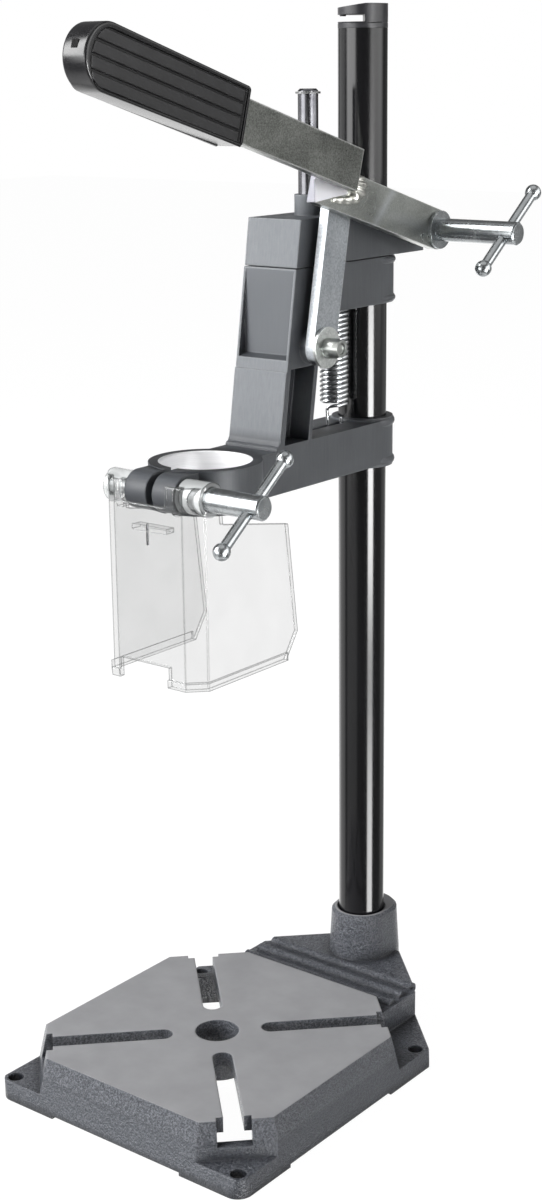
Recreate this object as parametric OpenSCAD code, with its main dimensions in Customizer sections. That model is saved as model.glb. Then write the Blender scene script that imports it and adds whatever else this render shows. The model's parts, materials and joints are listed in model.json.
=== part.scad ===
// Bench drill stand: a slotted table, a round column, a clamped head with a hand lever,
// a sprung carriage with a split collar, and a clear chip guard.
// The origin is the drilling axis at the bench. +Z is up, and the column stands at +Y.

/* [Table] */
// Width of the base across its feet, both ways
base_w = 160; // [152:1:176]
// Height of the machined table top
table_z = 28.6; // [26:0.1:36]
// How far the table's side edges lie in from the feet
table_inset = 4.7; // [3.5:0.1:7]
// How far the table's front edge lies in from the feet
front_inset = 6; // [4:0.1:8]
// Thickness of the table's top wall
top_t = 8; // [6:0.5:10]
// Thickness of the base's side walls
wall_t = 7; // [6:0.5:9]
// Height of the sloped band under the table's edge
band_h = 8.6; // [5:0.1:12]
// How far the sloped band runs out
band_out = 2.4; // [1:0.1:3]
// Length of each bolt ear along the diagonal
ear_u = 25.4; // [24:0.1:30]
// Thickness of the bolt ears and the flange
ear_t = 10; // [8:0.5:12]
// Distance of the bolt holes from the base's sides
ear_inset = 6.5; // [6.3:0.1:9]
// Bolt hole diameter
ear_hole_d = 8; // [5:0.5:8.4]
// Radius of the base's corners
base_r = 8; // [4:0.5:9]
// Length of each foot along the sides
foot_len = 38; // [25:1:45]
// Height of the gap between the feet
foot_h = 1.8; // [1:0.1:3]
// Diameter of the hole in the table's centre
centre_hole_d = 22.5; // [16:0.5:26]
// Height of the boss under the table round that hole
centre_boss = 12; // [4:0.5:16]
// Width of the diagonal slots
slot_w = 10; // [8:0.5:12]
// Distance of the slots' inner ends from the centre
slot_in = 23; // [20:0.5:32]
// Width of the wide mouth at each slot's outer end
notch_w = 17; // [14:0.5:20]
// Depth of the wide mouth along the slot
notch_u = 3.2; // [3:0.1:4]
// Height of the wide mouth's sill
notch_z = 16; // [13:0.5:18]

/* [Rear deck and socket] */
// Distance from the drilling axis to the column's axis
throat = 127.5; // [122:0.5:140]
// Height of the rear deck and the ridges
deck_z = 26; // [22:0.5:28]
// Width of the rear deck
deck_w = 104; // [92:1:112]
// Radius of the three ridges
ridge_r = 3.2; // [2:0.1:4]
// Depth of the valleys between the ridges
valley_h = 2.6; // [1:0.1:3]
// Height of the socket above the deck
socket_h = 26; // [22:0.5:34]
// Radius of the socket at its top
socket_r = 16.6; // [15.6:0.1:19]
// How much wider the socket is at the deck
socket_flare = 1.4; // [0.5:0.1:2.5]
// How far the socket runs back for its screw
socket_back = 5.7; // [4:0.1:9]
// Diameter of the column's grub screw
screw_d = 8; // [6:0.5:10]

/* [Column] */
// Column diameter
column_d = 25; // [23:0.1:25.6]
// Column wall
column_wall = 2.5; // [1.5:0.1:4]
// Column length
column_len = 500; // [500:1:600]
// How deep the column stands in the socket
column_in = 26.5; // [20:0.5:30]
// Height of the cap above the column
cap_h = 11.6; // [11:0.1:14]
// Thickness of the cap's lower disc
cap_disc = 3; // [2:0.1:4]
// Height of the key slot in the cap
key_slot = 3.4; // [2:0.1:4.5]
// Turn of the cap about the column
cap_turn = 38; // [0:1:180]

/* [Head] */
// Height of the head's underside above the bench
head_z = 414.8; // [360:0.1:420]
// Height of the head
head_h = 22.6; // [21:0.1:26]
// Width of the head and the carriage's arms
arm_w = 32; // [31.4:0.1:36]
// Distance of the head's front face from the column's axis
head_front = 73.4; // [66:0.1:76]
// Lean of the head's front face from upright, in degrees
head_lean = 8.5; // [6:0.1:9]
// Distance of the head's rear face from the column's axis
head_rear = 34; // [33:0.1:40]
// Width of the clamp slit
slit_w = 3; // [2:0.1:4]
// Distance of the guide rod from the column's axis
rod_y = 45.4; // [42:0.1:48]
// Guide rod diameter
rod_d = 10; // [8:0.1:11]
// Guide rod length
rod_len = 106; // [104:0.5:116]
// Outer diameter of the rod's boss
boss_d = 14; // [13.4:0.1:17]
// Height of the rod's boss
boss_h = 10; // [6:0.1:11]
// Distance of the lever's pivot behind the column's axis
pivot_y = 24; // [22.5:0.1:25]
// Height of the lever's pivot above the head's underside
pivot_up = 11.7; // [11:0.1:12]

/* [Carriage] */
// Height of the carriage over both arms
frame_h = 107; // [102:0.1:112]
// Height of the upper arm
upper_h = 23.4; // [20:0.1:26]
// Height of the lower arm
lower_h = 23; // [22.8:0.1:26]
// Gap between head and carriage at rest
split_gap = 0.5; // [0.4:0.1:1]
// Rim bead radius beyond the sleeve
bead_out = 1; // [0.5:0.1:1.4]
// Distance of the tower's front face from the column's axis at its top
tower_top = 76.5; // [74:0.1:78]
// Distance of the tower's front face from the column's axis at its foot
tower_foot = 89.5; // [84:0.1:92]
// Thickness of the tower along Y at its top
tower_d = 21; // [17:0.1:22]
// Depth of the tower's side windows
window_d = 12; // [4:0.5:13]

/* [Collar] */
// Collar bore
collar_d = 43; // [40:0.1:44]
// Outer radius of the collar
collar_r = 27.3; // [26:0.1:27.5]
// Height of the collar
collar_h = 21.3; // [20.6:0.1:22.8]
// Width of the collar's slit
collar_slit = 4; // [2:0.1:6]
// Half width over the collar's ears
ear_half = 15; // [13:0.1:15.5]
// Radius of the collar's ears
ear_r = 9.2; // [8:0.1:9.3]
// Distance of the collar's bolt in front of the drilling axis
collar_bolt_y = 31.7; // [31.4:0.1:32]

/* [Clamp bolts] */
// Diameter of the clamp bolts' shafts
bolt_d = 8; // [6:0.1:8.4]
// Diameter of the clamp bolts' barrels
barrel_d = 11.5; // [11:0.1:12]
// Length of the clamp bolts' barrels
barrel_len = 45.6; // [44:0.1:50]
// Distance of the tommy bar's hole from the barrel's end
bar_in = 7; // [6:0.1:12]
// Tommy bar diameter
bar_d = 5.4; // [3.5:0.1:6]
// Distance between the tommy bar's balls
bar_len = 57; // [52:0.5:66]
// Ball diameter
ball_d = 8.2; // [7:0.1:9]
// How far the head's tommy bar is pushed up from its middle
clamp_bar_up = 2.2; // [0:0.1:10]
// How far the collar's tommy bar is pushed up from its middle
collar_bar_up = 1.1; // [0:0.1:10]
// Slope of the tommy bars
bar_slope = 36.5; // [30:0.5:60]

/* [Lever and link] */
// Slope of the lever at rest
lever_angle = 16.3; // [14:0.1:18]
// Width of the lever's flat bars
plate_w = 20; // [18:0.1:20]
// Thickness of the lever's flat bars
plate_t = 5; // [4:0.1:5.5]
// Length of the plate in front of the pivot
plate_front = 105.6; // [98:0.1:112]
// Distance of the bar's rear end from the pivot
bar_from = 81; // [78:0.1:88]
// Height of the bar's centre line above the plate's
bar_lift = 11; // [10:0.1:12]
// Distance of the grip's rear end from the pivot
grip_from = 174.8; // [150:0.1:190]
// Length of the grip
grip_len = 104.2; // [96:0.1:120]
// Height of the grip
grip_h = 28.2; // [26:0.1:32]
// Thickness of the grip
grip_t = 13.5; // [12:0.1:18]
// Height of the grip's centre line above the plate's
grip_lift = 11.8; // [11:0.1:12.6]
// Distance between the grip's lengthwise grooves
groove_pitch = 6.05; // [5:0.05:6.2]
// Distance of the link's stud from the lever's pivot
link_reach = 78.9; // [77:0.1:81]
// Distance of the link's lower pivot in front of the column's axis
link_y = 65.9; // [64.5:0.1:67]
// Height of the link's lower pivot above the carriage's underside
link_up = 69.3; // [67:0.1:71]
// Width of the link
link_w = 18; // [17.8:0.1:20]
// Thickness of the link
link_t = 5; // [4:0.1:5]
// Diameter of the link's lower pin
link_pin_d = 8; // [6:0.1:9]
// Diameter of the stud at the link's upper end
stud_d = 6; // [5:0.1:6.4]
// Play of the link's upper hole to each side of its stud
link_play = 3; // [2.6:0.1:3]

/* [Return spring] */
// Distance of the spring in front of the column's axis
spring_y = 24.4; // [24.2:0.1:25]
// Outer diameter of the spring
spring_od = 14.4; // [13:0.1:14.6]
// Wire diameter
wire_d = 1.55; // [1.2:0.05:1.7]
// Number of curls
curls = 31; // [24:1:32]
// Diameter of the cross pins that hold the spring
spring_pin_d = 4; // [3:0.1:4.5]

/* [Chip guard] */
// Outer width of the guard
guard_w = 60; // [59.4:0.1:64]
// Wall of the guard
guard_t = 2; // [1.6:0.1:2]
// Distance of the guard's front panel from the drilling axis
guard_front = 43.7; // [43.6:0.1:48]
// Distance of the guard's rear edge from the drilling axis
guard_back = 31.8; // [26:0.1:36]
// Drop of the guard's lower edge under its hinge
guard_drop = 90; // [80:0.5:100]
// Size of the guard's front corner chamfers
guard_chamfer = 8; // [5:0.5:10]
// Outer radius of the guard's hubs
hub_r = 8; // [7.6:0.1:8.6]
// Diameter of the pin in the guard's inner tab
tab_pin_d = 1.2; // [1:0.1:2]
// Drop of the side walls' upper edge under the hinge
wall_drop = 22; // [20:0.5:26]
// Drop of the side walls' neck under the hinge
neck_drop = 13; // [11:0.5:15]
// Height of the side walls' lower rear corner above the lower edge
toe_up = 13; // [10:0.5:16]
// How far the lower edge ends in front of the rear edge
toe_in = 9; // [6:0.5:12]
// Height of the rim along the lower edge
guard_rim = 4; // [3:0.1:5]
// Left end of the openings in the front panel
open_left = -18; // [-20:0.5:-14]
// Right end of the openings in the front panel
open_right = 12; // [10:0.5:16]
// Height of the lower opening
open_up = 9.5; // [8:0.5:12]
// Drop of the inner tab under the hinge
tab_drop = 17; // [16:0.5:20]

/* [Clearances] */
// Radial clearance of turning and sliding fits
running = 0.05; // [0.03:0.01:0.08]
// Radial overlap of press fits
press = 0.02; // [0.01:0.01:0.03]
// Side gap between flat parts that pass each other
side_gap = 0.3; // [0.3:0.05:0.4]

/* [Hidden] */
$fn = 64;

// Table
half = base_w / 2;
corner_u = base_w / sqrt(2) - ear_u;
corner_lean = 12.7;
ear_xy = half - ear_inset;
cavity_z = table_z - top_t;
band_lean = atan(band_out / band_h);
plinth_h = 4;
side_lean = atan((table_inset - band_out) / (table_z - band_h - plinth_h));
front_lean = atan((front_inset - band_out) / (table_z - band_h - plinth_h));

// Column and socket
column_r = column_d / 2;
socket_z = deck_z + socket_h;
column_z0 = socket_z - column_in;
column_z1 = column_z0 + column_len;
deck_sum = throat + 29.7;
ridge_pitch = 11;
screw_z = deck_z + socket_h / 2;

// Head and carriage heights
head_z1 = head_z + head_h;
frame_z1 = head_z - split_gap;
frame_z0 = frame_z1 - frame_h;
upper_z0 = frame_z1 - upper_h;
lower_z1 = frame_z0 + lower_h;
arm_h = arm_w / 2;
collar_z1 = frame_z0 + collar_h;
collar_bolt_z = frame_z0 + collar_h / 2 + 0.95;
tower_back_top = tower_top - tower_d;
tower_back_foot = tower_back_top + 0.16 * (upper_z0 - lower_z1);
tower_slope = (tower_foot - tower_top) / (frame_z1 - lower_z1 - 2.5);
shelf_z = upper_z0 - 17.9;
step_z = upper_z0 - 25;
window_z0 = lower_z1 + 0.2;
window_z1 = upper_z0 - 24;

// Stack along X beside the head
boss_x = arm_h + 3.6;
link_x0 = boss_x + side_gap;
link_x1 = link_x0 + link_t;
plate_x0 = link_x1 + side_gap;
plate_x1 = plate_x0 + plate_t;
washer_t = 1.8;
washer_x0 = plate_x1 + side_gap;
barrel_x0 = washer_x0 + washer_t;
barrel_x1 = barrel_x0 + barrel_len;
clamp_bar_x = barrel_x1 - bar_in;
collar_barrel_x0 = ear_half + side_gap;
collar_barrel_x1 = collar_barrel_x0 + barrel_len;
collar_bar_x = collar_barrel_x1 - bar_in;

// Lever pivot and link, as points in the YZ plane
pivot = [throat + pivot_y, head_z + pivot_up];
link_low = [throat - link_y, frame_z0 + link_up];
link_high = [pivot[0] - link_reach * cos(lever_angle), pivot[1] + link_reach * sin(lever_angle)];
link_vec = link_high - link_low;
link_len = norm(link_vec);
link_lean = atan2(link_vec[0], link_vec[1]);

// Spring
spring_r = (spring_od - wire_d) / 2;
spring_z0 = lower_z1 + 10.2;
spring_z1 = head_z + 0.6;
hook_r = 5.5;
pin_low_z = lower_z1 - 6.4;
hook_low_z = pin_low_z - spring_pin_d / 2 - wire_d / 2 - 0.1 + hook_r;
pin_high_z = head_z + 12.4;
hook_high_z = pin_high_z + spring_pin_d / 2 + wire_d / 2 + 0.1 - hook_r;
spring_hole_r = spring_od / 2 + 1;

// Guard
guard_h = guard_w / 2;
hinge_y = -collar_bolt_y;
hinge_z = collar_bolt_z;
guard_z0 = hinge_z - guard_drop;

// Plain helpers

module block(x0, x1, y0, y1, z0, z1) {
    translate([x0, y0, z0]) cube([x1 - x0, y1 - y0, z1 - z0]);
}

// A round bar along X
module rod_x(r, x0, x1, y, z) {
    translate([x0, y, z]) rotate([0, 90, 0]) cylinder(r = r, h = x1 - x0);
}

// A plate in the YZ plane, from x0 to x1
module side_plate(points, x0, x1) {
    translate([x0, 0, 0]) rotate([90, 0, 90]) linear_extrude(height = x1 - x0) polygon(points);
}

module rounded_rect(x0, x1, y0, y1, r) {
    translate([x0 + r, y0]) square([x1 - x0 - 2 * r, y1 - y0]);
    translate([x0, y0 + r]) square([x1 - x0, y1 - y0 - 2 * r]);
    for (x = [x0 + r, x1 - r], y = [y0 + r, y1 - r]) translate([x, y]) circle(r);
}

// All that lies outside a plane on the -Y side, leaning outward towards the floor
module outside(d, z, lean) {
    translate([0, -d, z]) rotate([-lean, 0, 0]) translate([-160, -60, -120]) cube([320, 60, 240]);
}

module in_lever() {
    translate([0, pivot[0], pivot[1]]) rotate([-lever_angle, 0, 0]) children();
}

// Base

module socket_profile() {
    polygon([[0, 0], [socket_r + socket_flare, 0], [socket_r + socket_flare, deck_z], [socket_r,
        socket_z - 1.6],
        [socket_r - 1.6, socket_z], [0, socket_z]]);
}

module socket_body() {
    web = socket_r - 0.06;
    translate([0, throat, 0]) {
        rotate_extrude() socket_profile();
        translate([0, socket_back, 0]) rotate_extrude() socket_profile();
        translate([0, socket_back, 0]) rotate([90, 0, 0]) linear_extrude(height = socket_back)
            polygon([[-web - socket_flare, 0], [web + socket_flare, 0], [web + socket_flare, deck_z],
                [web, socket_z - 1.6], [web - 1.6, socket_z], [1.6 - web, socket_z], [-web,
                    socket_z - 1.6],
                [-web - socket_flare, deck_z]]);
    }
}

module table_body() {
    difference() {
        block(-half, half, -half, half, 0, table_z);
        for (a = [45, 135, 225, 315]) rotate([0, 0, a]) outside(corner_u, table_z, corner_lean);
    }
}

module deck_body() {
    valley_z = deck_z - valley_h;
    rear_y = throat - 41.1 + 2 * ridge_pitch;
    linear_extrude(height = ear_t) polygon([[-half, 0], [half, 0], [half, deck_sum - half], [20,
        deck_sum - 20],
        [-20, deck_sum - 20], [-half, deck_sum - half]]);
    linear_extrude(height = valley_z) polygon([[-deck_w / 2, 60], [deck_w / 2, 60], [deck_w / 2,
        deck_sum - deck_w / 2],
        [20, deck_sum - 20], [-20, deck_sum - 20], [-deck_w / 2, deck_sum - deck_w / 2]]);
    linear_extrude(height = deck_z) polygon([[-48, rear_y], [48, rear_y], [20, deck_sum - 21], [-20,
        deck_sum - 21]]);
    for (i = [0, 1, 2])
        rod_x(ridge_r, -50 + i, 50 - i, throat - 41.1 + i * ridge_pitch, deck_z - ridge_r - 0.15);
}

// The cast outside with its drafted front and sides
module base_outside() {
    difference() {
        union() {
            linear_extrude(height = ear_t) rounded_rect(-half, half, -half, half, base_r);
            table_body();
            deck_body();
            socket_body();
        }
        outside(half - front_inset, table_z, band_lean);
        outside(half - front_inset + band_out, table_z - band_h, front_lean);
        for (a = [90, 270]) rotate([0, 0, a]) {
            outside(half - table_inset, table_z, band_lean);
            outside(half - table_inset + band_out, table_z - band_h, side_lean);
        }
    }
}

// The same with the hollow underside and the gaps between the feet
module base_shell() {
    difference() {
        base_outside();
        translate([0, 0, -1]) linear_extrude(height = cavity_z + 1) intersection() {
            square(base_w - 2 * wall_t - 4, center = true);
            rotate(45) square(2 * (corner_u - notch_u + 0.8), center = true);
        }
        block(-44, 44, half + 2, throat - socket_r - socket_flare - 6, -1, deck_z - valley_h - 6);
        block(-half + foot_len, half - foot_len, -half - 5, throat + 60, -1, foot_h);
        block(-half - 5, half + 5, -half + foot_len, half - foot_len, -1, foot_h);
    }
}

// The same with the slots and their wide mouths
module base_slotted() {
    difference() {
        base_shell();
        for (a = [45, 135, 225, 315]) rotate([0, 0, a]) {
            block(slot_in + slot_w / 2, corner_u + 12, -slot_w / 2, slot_w / 2, cavity_z - 1,
                table_z + 1);
            translate([slot_in + slot_w / 2, 0, cavity_z - 1]) cylinder(d = slot_w, h = top_t + 2);
            block(corner_u - notch_u, corner_u + 12, -notch_w / 2, notch_w / 2, notch_z, table_z + 1);
        }
    }
}

module base_casting() color("#64676c") {
    boss_z0 = cavity_z - centre_boss;
    difference() {
        union() {
            base_slotted();
            translate([0, 0, boss_z0]) cylinder(d = centre_hole_d + 9, h = centre_boss + 0.5);
        }
        translate([0, 0, boss_z0 - 1]) cylinder(d = centre_hole_d, h = centre_boss + top_t + 2);
        for (x = [-ear_xy, ear_xy], y = [-ear_xy, ear_xy]) translate([x, y, -1])
            cylinder(d = ear_hole_d, h = ear_t + 2);
        // Column socket and its screw
        translate([0, throat, column_z0 - 0.2]) cylinder(r = column_r + running, h = column_in + 2);
        translate([0, throat, socket_z - 1]) cylinder(r1 = column_r + running, r2 = column_r + 1.05,
            h = 1.01);
        translate([0, throat, screw_z]) rotate([-90, 0, 0]) cylinder(r = screw_d / 2 - press, h = 60);
    }
}

module column_screw() color("#3b3d40") {
    difference() {
        translate([0, throat + column_r + 0.3, screw_z]) rotate([-90, 0, 0])
            cylinder(d = screw_d, h = socket_r + socket_back - column_r + 0.6);
        translate([0, throat + socket_r + socket_back - 3.4, screw_z]) rotate([-90, 0, 0])
            cylinder(d = screw_d * 0.55, h = 8, $fn = 6);
    }
}

// Column

module column_tube() color("#17181a") {
    translate([0, throat, column_z0]) difference() {
        cylinder(r = column_r, h = column_len);
        translate([0, 0, -1]) cylinder(r = column_r - column_wall, h = column_len + 2);
    }
}

module column_cap() color("#1d1e20") {
    translate([0, throat, column_z1]) rotate([0, 0, cap_turn]) {
        translate([0, 0, -12]) cylinder(r = column_r - column_wall + press, h = 12.5);
        rotate_extrude() polygon([[0, 0], [column_r, 0], [column_r, cap_disc - 0.8], [column_r - 0.8,
            cap_disc],
            [0, cap_disc]]);
        difference() {
            translate([0, 0, cap_disc - 0.4]) cylinder(r = column_r, h = cap_h - cap_disc + 0.4);
            block(-20, 0.5, -20, 20, cap_disc, cap_disc + key_slot);
            translate([0.5, 0, cap_h]) rotate([0, -8, 0]) block(-20, 0, -20, 20, 0, 6);
        }
        translate([-column_r + 2.6, 0, cap_disc + key_slot - 0.7]) cylinder(r = 1.6, h = 1.6);
    }
}

// Head

module head_casting() color("#6f7276") {
    difference() {
        union() {
            translate([0, 0, head_z]) linear_extrude(height = head_h)
                rounded_rect(-arm_h, arm_h, throat - head_front - 8, throat + head_rear, 3);
            translate([0, throat - rod_y, head_z1 - 1]) cylinder(d = boss_d, h = boss_h + 1);
        }
        translate([0, throat, 0]) outside(head_front - 0.8, head_z1, head_lean);
        translate([0, throat, head_z - 1]) cylinder(r = column_r + running, h = head_h + 2);
        block(-slit_w / 2, slit_w / 2, throat, throat + head_rear + 1, head_z - 1, head_z1 + 1);
        rod_x(bolt_d / 2 + running, -arm_h - 1, arm_h + 1, pivot[0], pivot[1]);
        translate([0, throat - rod_y, head_z - 1]) cylinder(r = rod_d / 2 + running,
            h = head_h + boss_h + 2);
        translate([0, throat - spring_y, head_z - 1]) cylinder(r = spring_hole_r, h = 18);
        rod_x(spring_pin_d / 2 - press, -arm_h - 1, arm_h - 3, throat - spring_y, pin_high_z);
    }
}

module clamp_nut() color("#b9bbb8") {
    difference() {
        rod_x(7.5, -arm_h - 6.5, -arm_h, pivot[0], pivot[1], $fn = 6);
        rod_x(bolt_d / 2 + running, -arm_h - 8, -arm_h + 1, pivot[0], pivot[1]);
    }
}

module lever_spacer() color("#a9aba6") {
    difference() {
        rod_x(8, arm_h, plate_x0 - side_gap, pivot[0], pivot[1]);
        rod_x(bolt_d / 2 + running, arm_h - 1, plate_x0, pivot[0], pivot[1]);
    }
}

module spring_pin_upper() color("#8d8f90") {
    rod_x(spring_pin_d / 2, -arm_h + 0.3, arm_h - 3, throat - spring_y, pin_high_z);
}

// Clamp bolts

// A bolt along X with a plain barrel and a cross hole for the tommy bar
module clamp_shape(x_end, x0, x1, bar_x, y, z) {
    translate([0, y, z]) difference() {
        union() {
            rod_x(bolt_d / 2, x_end, x0 + 1, 0, 0);
            translate([x0, 0, 0]) rotate([0, 90, 0]) rotate_extrude() polygon([[0, 0], [barrel_d / 2, 0],
                [barrel_d / 2, x1 - x0 - 0.8], [barrel_d / 2 - 0.8, x1 - x0], [0, x1 - x0]]);
        }
        translate([bar_x, 0, 0]) rotate([bar_slope, 0, 0]) rotate([-90, 0, 0])
            translate([0, 0, -20]) cylinder(r = bar_d / 2 + running, h = 40);
    }
}

module bar_shape(up, bar_x, y, z) {
    translate([bar_x, y, z]) rotate([bar_slope, 0, 0]) rotate([-90, 0, 0]) translate([0, 0, up]) {
        translate([0, 0, -bar_len / 2]) cylinder(d = bar_d, h = bar_len);
        for (s = [-1, 1]) translate([0, 0, s * bar_len / 2]) sphere(d = ball_d, $fn = 40);
    }
}

module clamp_bolt() color("#c3c5c4") {
    clamp_shape(-arm_h - 8.5, barrel_x0, barrel_x1, clamp_bar_x, pivot[0], pivot[1]);
}

module clamp_washer() color("#c3c5c4") {
    difference() {
        rod_x(9.6, washer_x0, barrel_x0, pivot[0], pivot[1]);
        rod_x(bolt_d / 2 - press, washer_x0 - 1, barrel_x0 + 1, pivot[0], pivot[1]);
    }
}

module clamp_bar() color("#c9cbca") {
    bar_shape(clamp_bar_up, clamp_bar_x, pivot[0], pivot[1]);
}

module collar_bolt() color("#c3c5c4") {
    clamp_shape(-guard_h - 2.6, collar_barrel_x0, collar_barrel_x1, collar_bar_x, hinge_y, hinge_z);
}

module collar_clip() color("#8d8f90") {
    difference() {
        rod_x(5.6, -guard_h - 1.6, -guard_h - side_gap, hinge_y, hinge_z);
        rod_x(bolt_d / 2 - press, -guard_h - 3, -guard_h, hinge_y, hinge_z);
    }
}

module collar_bar() color("#c9cbca") {
    bar_shape(collar_bar_up, collar_bar_x, hinge_y, hinge_z);
}

// Lever and link

module lever_plate() color("#8b8d83") {
    face = atan2(10.5, plate_front - bar_from + 2);
    in_lever() difference() {
        union() {
            block(plate_x0, plate_x1, -plate_front, 0, -plate_w / 2, plate_w / 2);
            rod_x(plate_w / 2, plate_x0, plate_x1, 0, 0);
        }
        rod_x(bolt_d / 2 + running, plate_x0 - 1, plate_x1 + 1, 0, 0);
        // Ground facet at the lower front end
        translate([plate_x1, -plate_front, -plate_w / 2]) rotate([face, 0, 0]) rotate([0, -14, 0])
            block(0, 6, -4, 26, 0, 10.4);
    }
}

module lever_bar() color("#85887d") {
    in_lever() block(plate_x1, plate_x1 + plate_t, -grip_from - grip_len + 12, -bar_from,
        bar_lift - plate_w / 2,
        bar_lift + plate_w / 2);
}

module lever_weld() color("#b4b6b0") {
    low = bar_lift - plate_w / 2;
    in_lever() {
        translate([0, -bar_from, low - 2.6]) linear_extrude(height = plate_w / 2 - low + 2.2)
            polygon([[plate_x1, 0], [plate_x1 + plate_t - 0.8, 0], [plate_x1, 3.6]]);
        translate([0, -bar_from + 2, low]) rotate([90, 0, 0]) linear_extrude(height = 10)
            polygon([[plate_x1, 0], [plate_x1, -2.4], [plate_x1 + plate_t - 1.4, 0]]);
    }
}

module lever_grip() color("#202123") {
    mid_x = plate_x1 + plate_t / 2;
    low = grip_lift - grip_h / 2;
    high = grip_lift + grip_h / 2;
    front = -grip_from - grip_len;
    in_lever() difference() {
        translate([mid_x - grip_t / 2, 0, 0]) rotate([90, 0, 90]) linear_extrude(height = grip_t) {
            translate([front + grip_h / 2, grip_lift]) circle(d = grip_h);
            polygon([[front + grip_h / 2, low], [-grip_from, low + 0.9], [-grip_from, high - 0.9],
                [front + grip_h / 2, high]]);
        }
        // Narrow lengthwise grooves in both sides
        for (side = [-1, 1], i = [-2 : 2]) translate([mid_x + side * grip_t / 2, 0, 0])
            block(-0.8, 0.8, front + 3 + i * i * 2.3, -grip_from - 3,
                bar_lift - 0.3 + i * groove_pitch - 0.5,
                bar_lift - 0.3 + i * groove_pitch + 0.5);
        // Slot for the bar, and the square hole in the end
        block(plate_x1 - press, plate_x1 + plate_t + press, front + 11.9, -grip_from + 1,
            bar_lift - plate_w / 2 - press, bar_lift + plate_w / 2 + press);
        block(mid_x - 1.8, mid_x + 1.8, front - 1, front + 8, grip_lift, grip_lift + 3.6);
    }
}

module link_stud() color("#b4b6b0") {
    rod_x(stud_d / 2, link_x0 + 0.2, plate_x0, link_high[0], link_high[1]);
}

module link_bar() color("#a3a8ad") {
    slot_r = stud_d / 2 + 0.8;
    translate([0, link_low[0], link_low[1]]) rotate([-link_lean, 0, 0]) difference() {
        union() {
            block(link_x0, link_x1, -link_w / 2, link_w / 2, 0, link_len + 1);
            rod_x(link_w / 2, link_x0, link_x1, 0, 0);
            rod_x(link_w / 2, link_x0, link_x1, 0, link_len + 1);
        }
        rod_x(link_pin_d / 2 + running, link_x0 - 1, link_x1 + 1, 0, 0);
        block(link_x0 - 1, link_x1 + 1, -link_play, link_play, link_len - slot_r, link_len + slot_r);
        for (s = [-1, 1]) rod_x(slot_r, link_x0 - 1, link_x1 + 1, s * link_play, link_len);
    }
}

// Carriage

module sleeve(z0, z1, bead) {
    translate([0, throat, 0]) {
        translate([0, 0, z0]) cylinder(r = arm_h, h = z1 - z0);
        for (z = [z0 + bead, z1 - bead]) translate([0, 0, z]) rotate_extrude()
            translate([arm_h + bead_out - bead, 0]) circle(bead, $fn = 32);
    }
}

module tower() {
    step_y = tower_top + tower_slope * (frame_z1 - step_z);
    foot_z = lower_z1 + 2.5;
    points = [[-tower_top, frame_z1], [-step_y, step_z], [-step_y - 0.6, step_z], [-tower_foot - 0.6,
        foot_z],
        [-tower_foot - 1.6, foot_z - 2], [-tower_foot - 3.6, lower_z1 - 0.8], [-tower_foot - 3.6,
            lower_z1 - 8],
        [-tower_back_foot, lower_z1 - 8], [-tower_back_foot, lower_z1], [-tower_back_top, upper_z0],
        [-tower_back_top, upper_z0 + 4]];
    translate([0, throat, 0]) side_plate(points, -arm_h, arm_h);
}

module window(x0, x1) {
    top_y = tower_top + tower_slope * (frame_z1 - window_z1);
    rear_y = tower_back_top + 0.16 * (upper_z0 - window_z1);
    translate([0, throat, 0]) side_plate([[-top_y + 2.7, window_z1], [-tower_foot + 2.7, window_z0],
        [-tower_back_foot - 2.6, window_z0], [-rear_y - 2.8, window_z1]], x0, x1);
}

// The recess in the tower's front runs out at the top, and its floor slopes outwards
module recess(rib) {
    floor_y = tower_top + 2;
    translate([0, throat, 0]) side_plate([[-tower_top - 0.1, frame_z1], [-floor_y, shelf_z],
        [-floor_y - 14, shelf_z - 4.8], [-floor_y - 14, frame_z1 + 1], [-tower_top - 0.1, frame_z1 + 1]],
        -arm_h + rib, arm_h - rib);
}

module collar_body() {
    translate([0, 0, frame_z0]) cylinder(r = collar_r, h = collar_h);
    block(-arm_h, arm_h, collar_r * 0.5, throat - tower_foot + 2, frame_z0, collar_z1);
    rod_x(ear_r, -ear_half, ear_half, hinge_y, hinge_z);
    block(-ear_half, ear_half, hinge_y, -collar_d / 2 + 3, hinge_z - ear_r, hinge_z + ear_r);
}

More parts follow.
